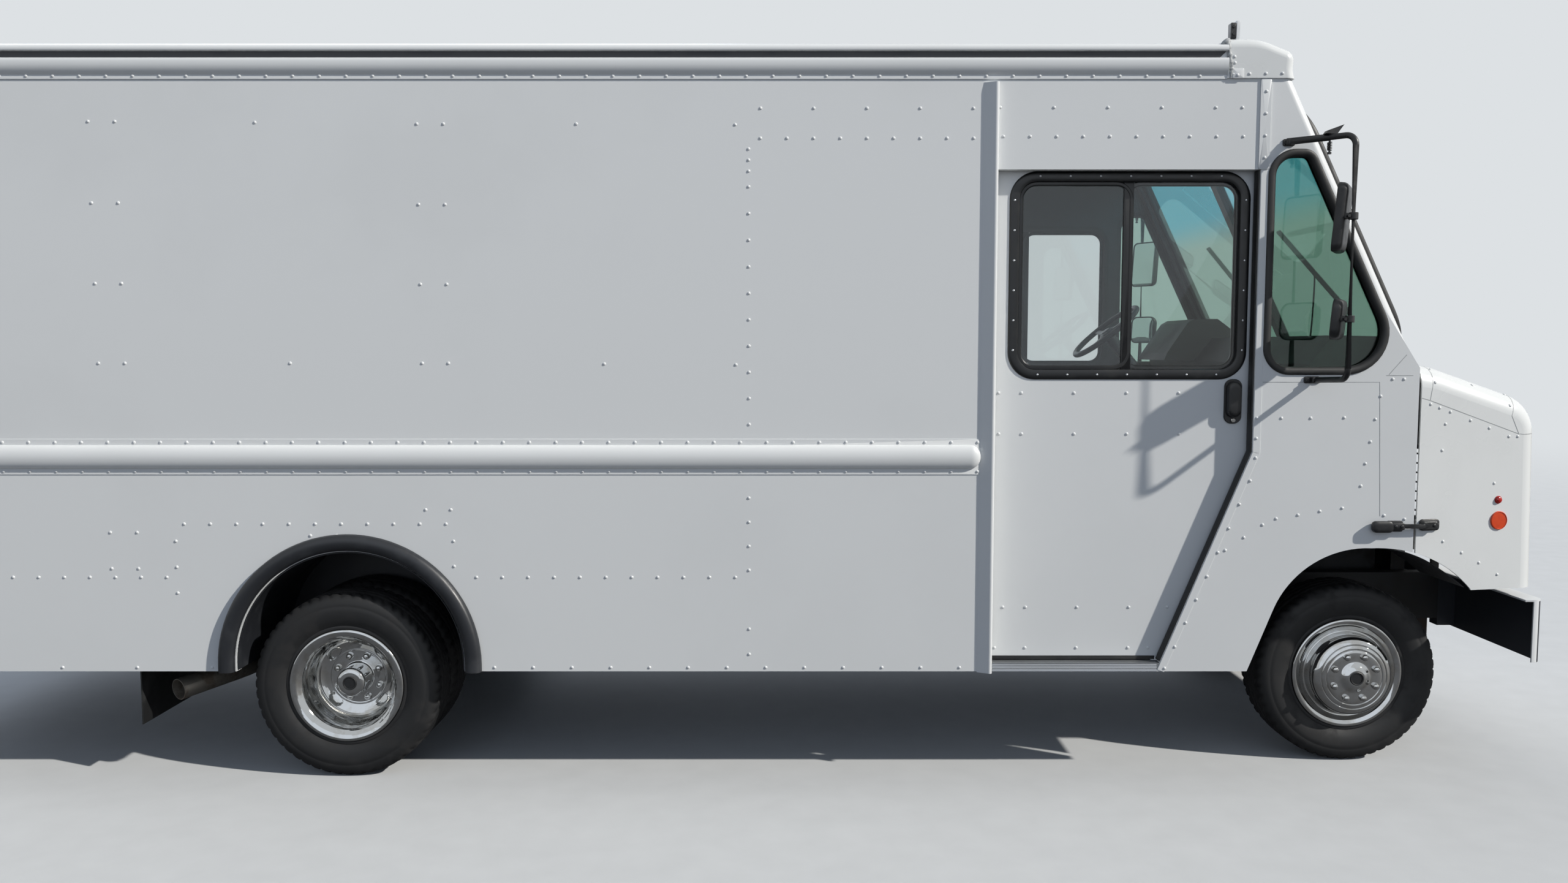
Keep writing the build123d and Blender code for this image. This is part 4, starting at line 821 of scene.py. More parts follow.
for name, side in SIDES:
    body = f"side_door_{name}"
    piece(f"door_window_frame_{name}", body, black_paint, "black_plastic", on_side(window_frame, side))
    piece(f"door_window_screws_{name}", body, aluminium, "floor_plate", on_side(screws, side))
    piece(f"door_rivets_{name}", body, enamel, "white_enamel", on_side(copies(rivet, door_places), side))

QUARTER_CORNERS = [(3983, 1786), (3983, 2737), (4172, 2737), (4623, 1786)]
QUARTER_RADII = (115, 115, 65, 180)
OUTER_GASKET = soften([(1, -1), (1, 4), (-5, 9), (-16, 10), (-26, 7), (-33, -2), (-34, -18), (-17, -24),
                       (-15, -2)], 1, closed=True)
INNER_GASKET = [(-10, -44), (4, -46), (4, -49), (-12, -51), (-28, -48), (-34, -30), (-17, -28), (-15, -44)]
quarter_line = rounded(QUARTER_CORNERS, QUARTER_RADII, 12)
piece("quarter_window_gaskets", "van", rubber, "moulded_rubber",
      both(join(*[edging(quarter_line, section, HALF_WIDTH) for section in (OUTER_GASKET, INNER_GASKET)])))


# Door handles, locks and sweeps

handle_base = stack(rectangle((3842, 1573), (3918, 1766), 33, 8), [(1122, 0), (1128, 0), (1131, 3)])
handle_grip = stack(rectangle((3849, 1600), (3911, 1757), 29, 8),
                    [(1131, 0), (1142, 1), (1150, 4), (1155, 9), (1157, 18), (1157.5, 26)])
lock = join(lathe([(10, 1130), (10, 1139), (8, 1141), (0, 1141)], 24),
            lathe([(4, 1140), (4, 1143), (0, 1143)], 12))
lock = moved(lock, 3880, 0, 1588)
for name, side in SIDES:
    body = f"side_door_{name}"
    piece(f"door_handle_{name}", body, black_plastic, "black_plastic",
          on_side(join(handle_base, handle_grip), side))
    piece(f"door_lock_{name}", body, chrome, "chrome_plate", on_side(lock, side))
    piece(f"door_sweep_{name}", body, rubber, "moulded_rubber",
          on_side(block((2845, 3566), (1119, 1127), (534, 549), edge=1.5), side))


# Forms for the front and back: places on the hood's leaning face, moulded lenses and cushions

# Two (ahead, up) points of the hood's front face
HOOD_FOOT, HOOD_BROW = (5268, 842), (5246, 1656)


def on_hood_front(form):
    """A form drawn as (across, out from the face, up), laid on the hood's leaning front face."""
    across, out, up = form[0].T
    lean = (HOOD_FOOT[0] - HOOD_BROW[0]) / (HOOD_BROW[1] - HOOD_FOOT[1])
    return np.stack((out + HOOD_FOOT[0] + (HOOD_FOOT[1] - up) * lean, across, up), -1), form[1]


def on_back(form):
    """A form drawn as (across, out from the face, up), laid on the rear wall."""
    return framed(form, BACK, (BODY_REAR, 0, 0))


def limits(inner, outer):
    """The limits across of a lamp on the right, and of one on the left."""
    return (-outer, -inner), (inner, outer)


def lens(low, high, crown, back, ribs=0, lift=0.8, rows=24):
    """A moulded lens over a rectangle: out = e * (crown + lift * cos(ribs * pi * u)), where
    e = (1 - u ** 6) * (1 - v ** 6) with u and v from -1 to 1 across and up, over a flat back."""
    u = np.linspace(-1, 1, 40)[:, None]
    v = np.linspace(-1, 1, rows)[None]
    e = (1 - u ** 6) * (1 - v ** 6)
    across = (low[0] + high[0]) / 2 + u * (high[0] - low[0]) / 2 + 0 * v
    up = (low[1] + high[1]) / 2 + v * (high[1] - low[1]) / 2 + 0 * u
    front = crown * e + lift * e * np.cos(ribs * np.pi * u)
    edge = e < 1e-9
    return join(grid(np.stack((across, np.where(edge, 0, front), up), -1)),
                grid(np.stack((across, np.where(edge, 0, -back), up), -1)))


def squarer(value):
    """sign(value) * |value| ** 0.35, which pushes sines and cosines towards 1 and -1."""
    return np.sign(value) * np.abs(value) ** 0.35


CHANNELS, SEAM_DEPTH = 5, 6.0


def cushion(middle, half):
    """A stuffed form. With two angles a and b: x = squarer(cos a) * squarer(cos b),
    y = squarer(cos a) * squarer(sin b) and z = squarer(sin a), times the half sizes. The sides pull in
    between the corners by up to 3.5%, and the faces dip at the seams between channels by
    SEAM_DEPTH * exp(-(distance / 0.09) ** 2), where the distance counts in channels."""
    a = np.linspace(-np.pi / 2, np.pi / 2, 48)[:, None]
    b = np.linspace(0, 2 * np.pi, 72, endpoint=False)[None]
    x = squarer(np.cos(a)) * squarer(np.cos(b))
    y = squarer(np.cos(a)) * squarer(np.sin(b))
    z = squarer(np.sin(a)) + 0 * b
    pull_x = 1 - 0.035 * np.cos(np.pi * y / 2) * np.abs(x) ** 3
    pull_y = 1 - 0.03 * np.cos(np.pi * x / 2) * np.abs(y) ** 3
    from_seam = ((y * 0.82) * CHANNELS / 2 + 0.5) % 1 - 0.5
    dip = SEAM_DEPTH * np.exp(-(from_seam / 0.09) ** 2) * (np.abs(y) < 0.86)
    top = z * half[2] - dip * np.sign(z) * np.abs(z) ** 3
    points = np.stack((x * pull_x * half[0], y * pull_y * half[1], top), -1)
    return grid(points + np.asarray(middle, float), close_columns=True)


# Mirrors: a bent tube on two feet, with two heads turned towards the driver and leaning a little forward

MIRROR_OUT = HALF_WIDTH + 250
TUBE_AHEAD, TUBE_RADIUS = 4230.0, 12.5
HEAD_AHEAD, HEAD_OUT, HEAD_HALF_WIDTH, HEAD_DEPTH = 4228.0, MIRROR_OUT - 90, 95, 42
HEAD_TURN, HEAD_LEAN = math.radians(31), math.radians(4.5)
# Height of a head's middle, half its height, radius of its corners, crown of its glass
MIRROR_HEADS = ((2430, 140, 30, 0.5), (2017, 84, 42, 6))
mirror_route = rounded([(4063, HALF_WIDTH + 16, 2763), (TUBE_AHEAD, MIRROR_OUT, 2755),
                        (TUBE_AHEAD, MIRROR_OUT, 1772), (4203, HALF_WIDTH + 14, 1764)], 45, 10, closed=False)
head_back = np.array((math.cos(HEAD_TURN), math.sin(HEAD_TURN), 0))
head_across = np.array((-math.sin(HEAD_TURN), math.cos(HEAD_TURN), 0))
head_up = np.array((0, 0, 1)) * math.cos(HEAD_LEAN) + head_back * math.sin(HEAD_LEAN)
HEAD = (head_across, np.cross(head_across, head_up), head_up)


def on_head(z, half_height, radius, levels):
    """A head's outline stacked in levels of (distance from its front, shrink), set at a height."""
    line = rectangle((-HEAD_HALF_WIDTH, -half_height), (HEAD_HALF_WIDTH, half_height), radius, 8)
    levels = [(depth - HEAD_DEPTH / 2, shrink) for depth, shrink in levels]
    return framed(stack(line, levels), HEAD, (HEAD_AHEAD, HEAD_OUT, z))


def mirror_head(z, half_height, radius):
    """A housing: a rim round a shallow recess, and a crowned back that narrows."""
    return on_head(z, half_height, radius, [
        (7, 10), (7, 9), (1, 7), (0, 5), (0, 3), (3, 0.6), (8, 0), (0.55 * HEAD_DEPTH, 1.5),
        (0.8 * HEAD_DEPTH, 7), (0.94 * HEAD_DEPTH, 18), (HEAD_DEPTH, 40)])


def mirror_face(z, half_height, radius, crown):
    """Glass in the recess, which stands out in its middle by crown."""
    return on_head(z, half_height, radius, [(6, 10), (4, 9), (3, 12), (3 - 0.6 * crown, 40), (3 - crown, 80)])


def clamp(z):
    """A band round the tube with its bolt, and a stem back to the housing."""
    band = lathe([(12.5, -14), (17, -14), (18.5, -12), (18.5, 12), (17, 14), (12.5, 14)], 24, closed=True)
    bolt = lathe([(7, -18), (7, -13), (4, -13), (4, 13), (7, 13), (7, 18), (0, 18)], 6)
    stem = block((-30, 10), (-36, -6), (-11, 11), edge=2)
    middle = (TUBE_AHEAD, MIRROR_OUT, z)
    return join(framed(band, UPRIGHT, middle), moved(bolt, TUBE_AHEAD - 24, MIRROR_OUT, z),
                framed(stem, HEAD, middle))


def foot_plate(ahead, z, half):
    """A mounting plate with two bolts, and the lug that the tube is bolted to."""
    bolt = lathe([(7, 0), (7, 4), (6, 5.5), (0, 5.5)], 6)
    return join(slab((ahead - half, z - 15), (ahead + half, z + 15), 9, (HALF_WIDTH, HALF_WIDTH + 6)),
                copies(bolt, [(ahead + offset, HALF_WIDTH + 6, z) for offset in (9 - half, half - 9)]),
                block((ahead - 10, ahead + 12), (HALF_WIDTH + 5, HALF_WIDTH + 30), (z - 11, z + 11), edge=2))


# The upper arm is a flat bar with slack in its bolt, a spring under the bolt and a bent tag on top
bar_start = np.array((4050, HALF_WIDTH + 12, 2765))
bar_end = mirror_route[0] + (mirror_route[1] - mirror_route[0]) * 0.72
bar_run = bar_start + (bar_end - bar_start) * np.linspace(0, 1, 8)[:, None]
flat_bar = carry(soften([(-4, -14), (4, -14), (4, 14), (-4, 14)], 1, closed=True), bar_run)
# The spring: a line of radius 8 that falls by 6.5 in each of five turns
turns = np.linspace(0, 5, 81)
angle = 2 * np.pi * turns
spring_line = np.stack((bar_end[0] + 8 * np.cos(angle), bar_end[1] + 8 * np.sin(angle),
                        2738 - 6.5 * turns), -1)
hanging_bolt = lathe([(0, -14), (8, -14), (8, -7), (4, -7), (4, 68), (8, 68), (8, 76), (0, 76)], 12)
tag_line = [(bar_end[0] + ahead, z)
            for ahead, z in ((-22, 2772), (26, 2772), (52, 2808), (30, 2800), (-14, 2784))]
tag = stack(tag_line, [(bar_end[1] + out, 0) for out in (-16, -14, 14)])
mirror_set = join(
    carry(circle(TUBE_RADIUS, 20), mirror_route), flat_bar, carry(circle(2.2, 8), spring_line),
    framed(hanging_bolt, UPRIGHT, (bar_end[0], bar_end[1], 2766)), tag,
    foot_plate(4063, 2763, 26), foot_plate(4195, 1764, 36),
    *[clamp(z) for z, _, _, _ in MIRROR_HEADS],
    *[mirror_head(z, half_height, radius) for z, half_height, radius, _ in MIRROR_HEADS])
piece("mirror_brackets", "van", black_plastic, "black_plastic", both(mirror_set), replaces=("mirrors",))
piece("mirror_faces", "van", mirror_glass, "chrome_plate",
      both(join(*[mirror_face(*head) for head in MIRROR_HEADS])))


# Front of the hood: grille and lamps

grille_line = rectangle((-470, 1000), (470, 1400), 26, 6)
GRILLE_FRAME = soften([(-24, -13), (-24, 2), (-18, 8), (-6, 9), (0, 6), (0, -13)], 1, closed=True)
blade = soften([(-4, -13), (-5, 2), (0, 7), (5, 2), (4, -13)], 1, closed=True)
grille_blades = [carry(blade[:, ::-1], np.linspace((-452, 0, z), (452, 0, z), 9))
                 for z in np.linspace(1000, 1400, 9)[1:-1]]
grille_posts = [block((across - 5, across + 5), (-12, -1), (1015, 1385), edge=1.5)
                for across in (-300, -150, 0, 150, 300)]
piece("hood_grille", "hood", black_plastic, "black_plastic",
      on_hood_front(join(edging(grille_line, GRILLE_FRAME, 0), *grille_blades, *grille_posts)),
      replaces=("grille",))

BEZEL = soften([(-12, -30), (-12, 2), (-8, 7), (-2, 7), (0, 4), (0, -30)], 1, closed=True)
lamp_frames, lamp_bowls, lamp_glass, signal_glass = [], [], [], []
for low, high in limits(560, 800):
    lamp_frames += [edging(rectangle((low, 1090), (high, 1260), 16, 5), BEZEL, 0),
                    edging(rectangle((low, 1015), (high, 1070), 12, 5), BEZEL, 0)]
    lamp_bowls += [stack(rectangle((low + 11, 1101), (high - 11, 1249), 10, 5),
                         [(-33, 70), (-31, 55), (-22, 30), (-8, 4), (-6, 0), (-9, 0), (-24, 24), (-34, 60)]),
                   moved(lathe([(0, -30), (16, -30), (17, -16), (9, -8), (0, -7)], 24),
                         (low + high) / 2, 0, 1175)]
    lamp_glass.append(lens((low + 10, 1100), (high - 10, 1250), 5.5, 1.0, ribs=18, lift=0.5))
    signal_glass.append(lens((low + 10, 1025), (high - 10, 1060), 5.5, 3.0, ribs=24, lift=0.6, rows=12))
piece("lamp_frames", "hood", black_plastic, "black_plastic", on_hood_front(join(*lamp_frames)),
      replaces=("hood_lamps",))
piece("lamp_bowls", "hood", chrome, "chrome_plate", on_hood_front(join(*lamp_bowls)))
piece("headlamp_lenses", "hood", clear_lens, "lamp_lens", on_hood_front(join(*lamp_glass)))
piece("signal_lenses", "hood", amber_lens, "lamp_lens", on_hood_front(join(*signal_glass)))


# Side marker and round reflector on the hood

reflector_form = lathe([(40.5, -4), (40.5, 5), (39, 7), (37, 7.5), (36, 5.5), (0, 6.5)], 48)
marker_form = lathe([(17, -3), (17, 3), (15.5, 4.5), (14, 4), (13, 9), (9, 12), (0, 13)], 32)
piece("side_reflectors", "hood", reflector, "lamp_lens", both(on_hood(reflector_form, [(5067, 1147)])))
piece("side_markers", "hood", red_lens, "lamp_lens", both(on_hood(marker_form, [(5061, 1238)])))


# Markers on the cap and over the rear doors, and the tail lamps

MARKER_OUT = (0, 150, -150, 1040, -1040)
marker_lens = moved(lens((-43, -10), (43, 10), 13, 0.5, ribs=6, lift=0.8, rows=16), out=3.5)
marker_base = slab((-45, -12), (45, 12), 8, (-1, 4))
cap_places = [(4080.7, out, 3089.6) for out in MARKER_OUT]
rear_places = [(BODY_REAR, out, 3077) for out in MARKER_OUT]
piece("cap_marker_lenses", "van", amber_lens, "lamp_lens",
      *[framed(marker_lens, CAP_FACE, place) for place in cap_places], replaces=("body_lamps",))
piece("rear_marker_lenses", "van", red_lens, "lamp_lens",
      *[framed(marker_lens, BACK, place) for place in rear_places])
piece("marker_bases", "van", black_plastic, "black_plastic",
      *[framed(marker_base, CAP_FACE, place) for place in cap_places],
      *[framed(marker_base, BACK, place) for place in rear_places])

TAIL_SECTION = soften([(-9, 0), (-9, 9), (-6, 13), (-2, 13), (0, 10), (0, 0)], 1, closed=True)
tail_sides = limits(900, 1060)
piece("tail_lamp_frames", "van", black_plastic, "black_plastic",
      *[on_back(edging(rectangle((low, 600), (high, 780), 14, 5), TAIL_SECTION, 0))
        for low, high in tail_sides])
for name, finish, foot, top in (("stop_lenses", red_lens, 692, 772), ("turn_lenses", amber_lens, 645, 690),
                                ("reversing_lenses", clear_lens, 608, 643)):
    piece(name, "van", finish, "lamp_lens",
          *[on_back(lens((low + 8, foot), (high - 8, top), 9, 0.5, ribs=12)) for low, high in tail_sides])


# Rear wall: seals round the doors, latch rods in guides, a drip rail, a ridged step tread and rivets

DOOR_GASKET = soften([(-7, -1), (-7, 3), (-3, 6), (3, 6), (7, 3), (7, -1)], 1, closed=True)
rear_gasket = edging(rectangle((-768, 933), (768, 2767), 14, 5), DOOR_GASKET, 0)
middle_seal = slab((-3.2, 950), (3.2, 2750), 1, (-6, 3), 1)
drip_section = soften([(-2, -1), (-2, 24), (1, 27), (9, 27), (9, 24), (3, 22), (3, -1)], 1, closed=True)
drip_rail = carry(drip_section[:, ::-1] * (-1, 1), [(-800, 0, 2784), (0, 0, 2790), (800, 0, 2784)])
wall_spots = [(across, 0, z) for across in (-1150, -835, 835, 1150) for z in np.linspace(860, 2960, 23)]
wall_spots += [(across, 0, z) for z in (2850, 3030, 820) for across in np.linspace(-1040, 1040, 20)]
piece("rear_seals", "van", rubber, "moulded_rubber", on_back(rear_gasket))
piece("rear_middle_seal", "rear_door_right", rubber, "moulded_rubber", on_back(middle_seal))
piece("rear_drip_rail", "van", enamel, "white_enamel", on_back(drip_rail))
piece("rear_wall_rivets", "van", enamel, "white_enamel", on_back(copies(rivet, wall_spots)))

door_spots = [(across, 0, z) for across in (40, 685) for z in np.linspace(990, 2710, 16)]
door_spots += [(across, 0, z) for z in (1000, 2700) for across in np.linspace(130, 630, 5)]
rod = lathe_up([(0, 975), (8, 975), (8, 2725), (0, 2725)], (100, 14))
rod_guides = copies(slab((78, 0), (122, 34), 5, (-1, 20), 3),
                    [(0, 0, z) for z in (985, 1330, 1990, 2360, 2680)])
rod_handle = join(slab((84, 1560), (116, 1760), 8, (-1, 8), 3),
                  slab((92, 1595), (232, 1622), 10, (20, 30), 4),
                  slab((88, 1592), (116, 1626), 8, (6, 28), 3))
for name, side in SIDES:
    body = f"rear_door_{name}"
    piece(f"rear_door_rivets_{name}", body, enamel, "white_enamel",
          on_back(on_side_across(copies(rivet, door_spots), side)))
    piece(f"rear_door_rods_{name}", body, aluminium, "floor_plate",
          on_back(on_side_across(join(rod, rod_guides, rod_handle), side)))
piece("rear_step_tread", "van", aluminium, "floor_plate",
      *[block((ahead - 3, ahead + 3), (-960, 960), (529, 533), edge=1.2)
        for ahead in np.linspace(-2352, -2268, 8)])


# Steering wheel: rim, three dished spokes and a horn pad, leaning back by the rake

RAKE = math.radians(39.4)
WHEEL = ((0, 1, 0), (math.sin(RAKE), 0, -math.cos(RAKE)), (-math.cos(RAKE), 0, -math.sin(RAKE)))
WHEEL_AT = (3772, 550, 1996)
rim_section = circle(15.5, 20) + (210, 0)
spoke_section = soften([(-17, -5), (17, -5), (17, 5), (-17, 5)], 2, closed=True)
wheel_forms = [lathe(rim_section, 96, closed=True),
               lathe([(0, -2), (30, -1), (42, 3), (47, 10), (47, 34), (40, 40), (0, 40)], 48),
               lathe([(0, -9), (18, -8.5), (27, -6), (30, -1), (30, 4), (0, 4)], 40)]
for t in np.radians((0, 120, 240)):
    reach = np.linspace(36, 206, 12)
    path = np.stack((reach * math.cos(t), 9 * (1 - ((reach - 36) / 170) ** 2) + 1, reach * math.sin(t)), -1)
    wheel_forms.append(carry(spoke_section, path, up=(0, 1, 0)))
piece("steering_wheel_moulded", "steering_wheel", black_plastic, "black_plastic",
      framed(join(*wheel_forms), WHEEL, WHEEL_AT), replaces=("steering_wheel",))


# Driver's seat: a sewn cushion and back on a pedestal

LEAN = math.radians(8.3)
BACKREST = ((-math.sin(LEAN), 0, math.cos(LEAN)), (0, 1, 0), (math.cos(LEAN), 0, math.sin(LEAN)))
seat_top = piece("seat_cushion", "van", vinyl, "seat_vinyl", cushion((3215, 550, 1505), (235, 243, 66)),
                 replaces=("driver_seat",), smooth_angle=60)
seat_back = piece("seat_backrest", "van", vinyl, "seat_vinyl",
                  framed(cushion((0, 0, 0), (302, 240, 52)), BACKREST, (3000, 550, 1872)), smooth_angle=60)
piece("seat_pedestal", "van", chassis_paint, "chassis_paint",
      block((3120, 3360), (430, 670), (940, 1400), edge=10),
      block((2995, 3420), (335, 765), (1398, 1442), edge=8))


# Windscreen gaskets, one round each pane

pane_line = rectangle((32, -1221.8), (1085, -104), 70, 8)
PANE_GASKET = soften([(1, -3), (1, 4), (-6, 9), (-18, 9), (-27, 5), (-29, -18), (-18, -22), (-16, -3)],
                     1, closed=True)
piece("windscreen_gaskets", "van", rubber, "moulded_rubber",
      framed(both(edging(pane_line, PANE_GASKET, 0)), SCREEN, SCREEN_TOP))


# Trim and seals on the sides


def flat_seam(corners):
    """A fine line on the flat side, through (ahead, up) corners."""
    corners = np.asarray(corners, float)
    path = np.insert(corners, 1, HALF_WIDTH, axis=1)
    return strip(path, np.broadcast_to((0.0, 1.0, 0.0), path.shape), width=3.0, lift=0.6)


def plate_line(line, section, out):
    """A section carried along an open line on the side, whose corners are rounded by 10 mm."""
    return edging(rounded(line, 10, 6, closed=False), section, out, closed=False)


DOOR_EDGE = [(3950, 2650), (3950, 1454), (3576, 536)]
STRIP_LINE = [(3966.5, 2652), (3966.5, 1451), (3578, 497)]
STRIP_SECTION = [(-15.5, -0.5), (-15.5, 1.2), (-14.8, 2), (14.8, 2), (15.5, 1.2), (15.5, -0.5)]
piece("door_edge_strips", "van", enamel, "white_enamel", both(join(
    plate_line(STRIP_LINE, STRIP_SECTION, HALF_WIDTH), slab((3938, 2652), (3983, 3028), 8, (1181, 1187)),
    slab((3815, 3027), (3862, 3067), 4, (1189, 1193), 1.0))))
piece("side_seams", "van", seam_line, "white_enamel", both(join(
    flat_seam([(3985, 1754), (4236, 1754), (4487, 1754), (4498, 1463), (4509, 1176)]),
    flat_seam([(4514, 1783), (4570, 1783), (4629, 1783)]),
    flat_seam([(4525, 1786), (4560, 1827), (4598, 1871)]))))
# A black rubber seal along each door's front edge, whose black also paints the shade in the gap between door
# and cowl
DOOR_SEAL_AND_SHADE = [(3, -8), (3, -50), (-3, -54), (-8, -50), (-9, -30), (-6, -10)]
piece("door_seals_and_shade", "van", rubber, "moulded_rubber", both(plate_line(DOOR_EDGE, DOOR_SEAL_AND_SHADE, HALF_WIDTH)))

ridge = np.linspace(-17, 17, 49)
ridge_heights = 1.2 + 1.3 * np.abs(np.sin(ridge * np.pi / 6.8))
threshold_section = np.concatenate((np.stack((ridge, ridge_heights), -1), [(17, -1), (-17, -1)]))
threshold = carry(threshold_section, np.linspace((2842, HALF_WIDTH, 512), (3560, HALF_WIDTH, 512), 3),
                  up=(0, 1, 0))
piece("door_thresholds", "van", aluminium, "floor_plate", both(threshold))


# Roof rail with its gutter, a charcoal strip of painted shade in the gutter, and the sealant where the rail
# meets the cap


def bend(start, pull, end, steps):
    """The inner points of a curve: (1 - t) ** 2 * start + 2 * t * (1 - t) * pull + t ** 2 * end."""
    t = np.linspace(0, 1, steps)[1:-1, None]
    return (1 - t) ** 2 * np.array(start) + 2 * t * (1 - t) * np.array(pull) + t ** 2 * np.array(end)


rail_section = np.concatenate((
    [(0, 3025), (4, 3025), (5, 3026), (5, 3043)],
    bend((5, 3043), (27, 3062), (24, 3098), 15),
    [(24, 3098), (22.5, 3106), (19, 3110), (5, 3112), (4, 3114), (4, 3137), (5, 3139), (19, 3140),
     (20.5, 3142)],
    soften([(20.5, 3142), (20, 3156), (10, 3166), (-8, 3170), (-60, 3186.5)], 2)[1:],
    [(-60, 3150), (0, 3150)]))
rail = carry(rail_section[:, ::-1], np.linspace((BODY_REAR, HALF_WIDTH, 0), (CAP_REAR, HALF_WIDTH, 0), 3),
             up=(0, 1, 0))
piece("roof_rail_sections", "van", enamel, "white_enamel", both(rail), replaces=("roof_rails",),
      smooth_angle=40)
# A charcoal strip at the back of the gutter: painted shade, the shadow that a deeper recess would hold
gutter_painted_shade_strip = stack([(-2244, 3114), (3762, 3114), (3788, 3138), (-2244, 3138)],
                     [(1184, 0), (1188, 0), (1188.6, 0.6)])
piece("gutter_painted_shade_strips", "van", flare_rubber, "black_plastic", both(gutter_painted_shade_strip))
# The bead of sealant: its half width swells at the top, and wavers along the joint as a hand lays it
bead_line = soften([(3786, 1162, 3188), (3795, 1180, 3174), (3799, 1190, 3150), (3801, 1191.5, 3120),
                    (3809, 1191.5, 3085), (3810, 1191.5, 3062), (3807, 1191, 3029)], 3)
run = np.linspace(0, 1, len(bead_line))
bead_size = 8.5 + 13 * np.exp(-(run / 0.16) ** 2) + 1.6 * np.sin(31 * run) + 1.1 * np.sin(67 * run + 1)
bead_size *= np.clip(run / 0.02, 0.2, 1) * np.clip((1 - run) / 0.03, 0.3, 1)
piece("joint_sealant", "van", sealant, "moulded_rubber",
      both(carry(circle(1.0, 14) * (1, 0.62), bead_line, up=(0, 1, 0), size=bead_size)))


# A small lamp on an upright bracket, at the right only

lamp_bolt = lathe([(6, -1), (6, 4), (5, 5.5), (0, 5.5)], 6)
piece("roof_bracket", "van", enamel, "white_enamel",
      block((3846, 3860), (-1140, -1100), (3190, 3278), edge=2))
piece("roof_lamp", "van", black_plastic, "black_plastic",
      block((3823, 3846), (-1139, -1101), (3205, 3270), edge=4),
      copies(on_side(lamp_bolt, -1.0), [(3834, -1138.5, 3222), (3834, -1138.5, 3252)]))


# Wheel houses: black liners inside the rear arches, and over the front wheels

REAR_SHEET = [(-1.5, -0.5), (-1.5, -574), (1.5, -574), (1.5, -0.5)]
FRONT_SHEET = [(-1.5, -78), (-1.5, -440), (1.5, -440), (1.5, -78)]
rear_house = arch_line(492, 500, 41)
front_house = soften([(3962, 500), (4066, 770), (4210, 948), (4340, 1010), (4480, 1028), (4610, 1020),
                      (4735, 984), (4850, 912), (4930, 850)], 2)
piece("wheel_houses", "van", flare_rubber, "moulded_rubber", both(join(
    edging(rear_house, REAR_SHEET, HALF_WIDTH - 3, closed=False),
    stack(rear_house, [(604, 1), (607, 1)]),
    edging(front_house, FRONT_SHEET, HALF_WIDTH, closed=False))))


# Door pillars: a ramp up to a narrow flat, with a rounded leading edge

pillar_section = np.array([(31, -1), (31, 0.5), (-13, 23), (-18, 25.5), (-22, 26), (-27, 25), (-31, 21),
                           (-32, 16), (-32, -1)])
pillar = carry(pillar_section, np.linspace((2806, HALF_WIDTH, 490), (2806, HALF_WIDTH, 3012), 3),
               up=(0, 1, 0))
piece("door_pillar_covers", "van", enamel, "white_enamel", both(pillar), replaces=("door_pillars",),
      smooth_angle=40)


# Hood latches: a grip and strap on the cowl, hooked over an anchor on the hood

latch_bolt = lathe([(7, -1), (7, 3), (4, 4.5), (0, 4.5)], 12)
latch = join(
    slab((4538, 1110), (4604, 1157), 8, (HALF_WIDTH - 1, 1195), 3),
    stack(rectangle((4467, 1107), (4556, 1157), 18, 6),
          [(1184, 16), (1187, 6), (1192, 1), (1198, 0), (1206, 0), (1212, 2), (1215, 8), (1216, 20)]),
    slab((4548, 1119), (4606, 1149), 7, (1192, 1210), 4),
    slab((4598, 1125), (4696, 1144), 6, (1195, 1206), 3),
    copies(latch_bolt, [(4566, 1209.5, 1134), (4592, 1209.5, 1134)]))
anchor = join(slab((-47, -25), (47, 25), 14, (-1, 10), 3), slab((-47, -17), (26, 17), 8, (8, 30), 5),
              copies(latch_bolt, [(36, 9.5, 0), (6, 29.5, 0)]))
piece("hood_latches", "van", black_plastic, "black_plastic", both(latch))
piece("hood_latch_anchors", "hood", black_plastic, "black_plastic", both(on_hood(anchor, [(4727, 1137)])))


# Windscreen: one rubber ring round both panes, and a pair of wipers

screen_ring = rectangle((-1144, -1270), (1144, -78), 190, 12)
RING_SECTION = soften([(14, -9), (14, 6), (8, 17), (-2, 20), (-12, 14), (-16, -2), (-12, -9)], 1, closed=True)
WIPER_ARM = soften([(-5, -3), (5, -3), (5, 3), (-5, 3)], 1, closed=True)
WIPER_BLADE = [(-4, -14), (4, -14), (7, 2), (3, 8), (-3, 8), (-7, 2)]
wipers = []
for place in (-150, 820):
    arm_run = soften([(place, 12, -1262), (place - 90, 34, -1150), (place - 330, 30, -930),
                      (place - 420, 22, -850)], 2)
    blade_run = np.array([(place - 420 + d * 0.62, 16, -850 + d * 0.78) for d in np.linspace(-290, 290, 9)])
    wipers += [carry(WIPER_ARM, arm_run, up=(0, 1, 0)),
               carry(WIPER_BLADE, blade_run, up=(0, 1, 0)),
               moved(lathe([(0, 26), (16, 26), (20, 20), (20, -6)], 20), place, 0, -1262)]
piece("windscreen_ring", "van", rubber, "moulded_rubber",
      framed(edging(screen_ring, RING_SECTION, 0), SCREEN, SCREEN_TOP))
piece("wipers", "van", black_paint, "black_plastic", framed(join(*wipers), SCREEN, SCREEN_TOP))


# Stage: a pale floor that runs into the background, soft light, and the camera of the photograph

BACKGROUND, ROAD = "DDE1E4", "58595B"
FLOOR_HALF, FADE_FROM, FADE_TO = 60, 9.0, 26.0


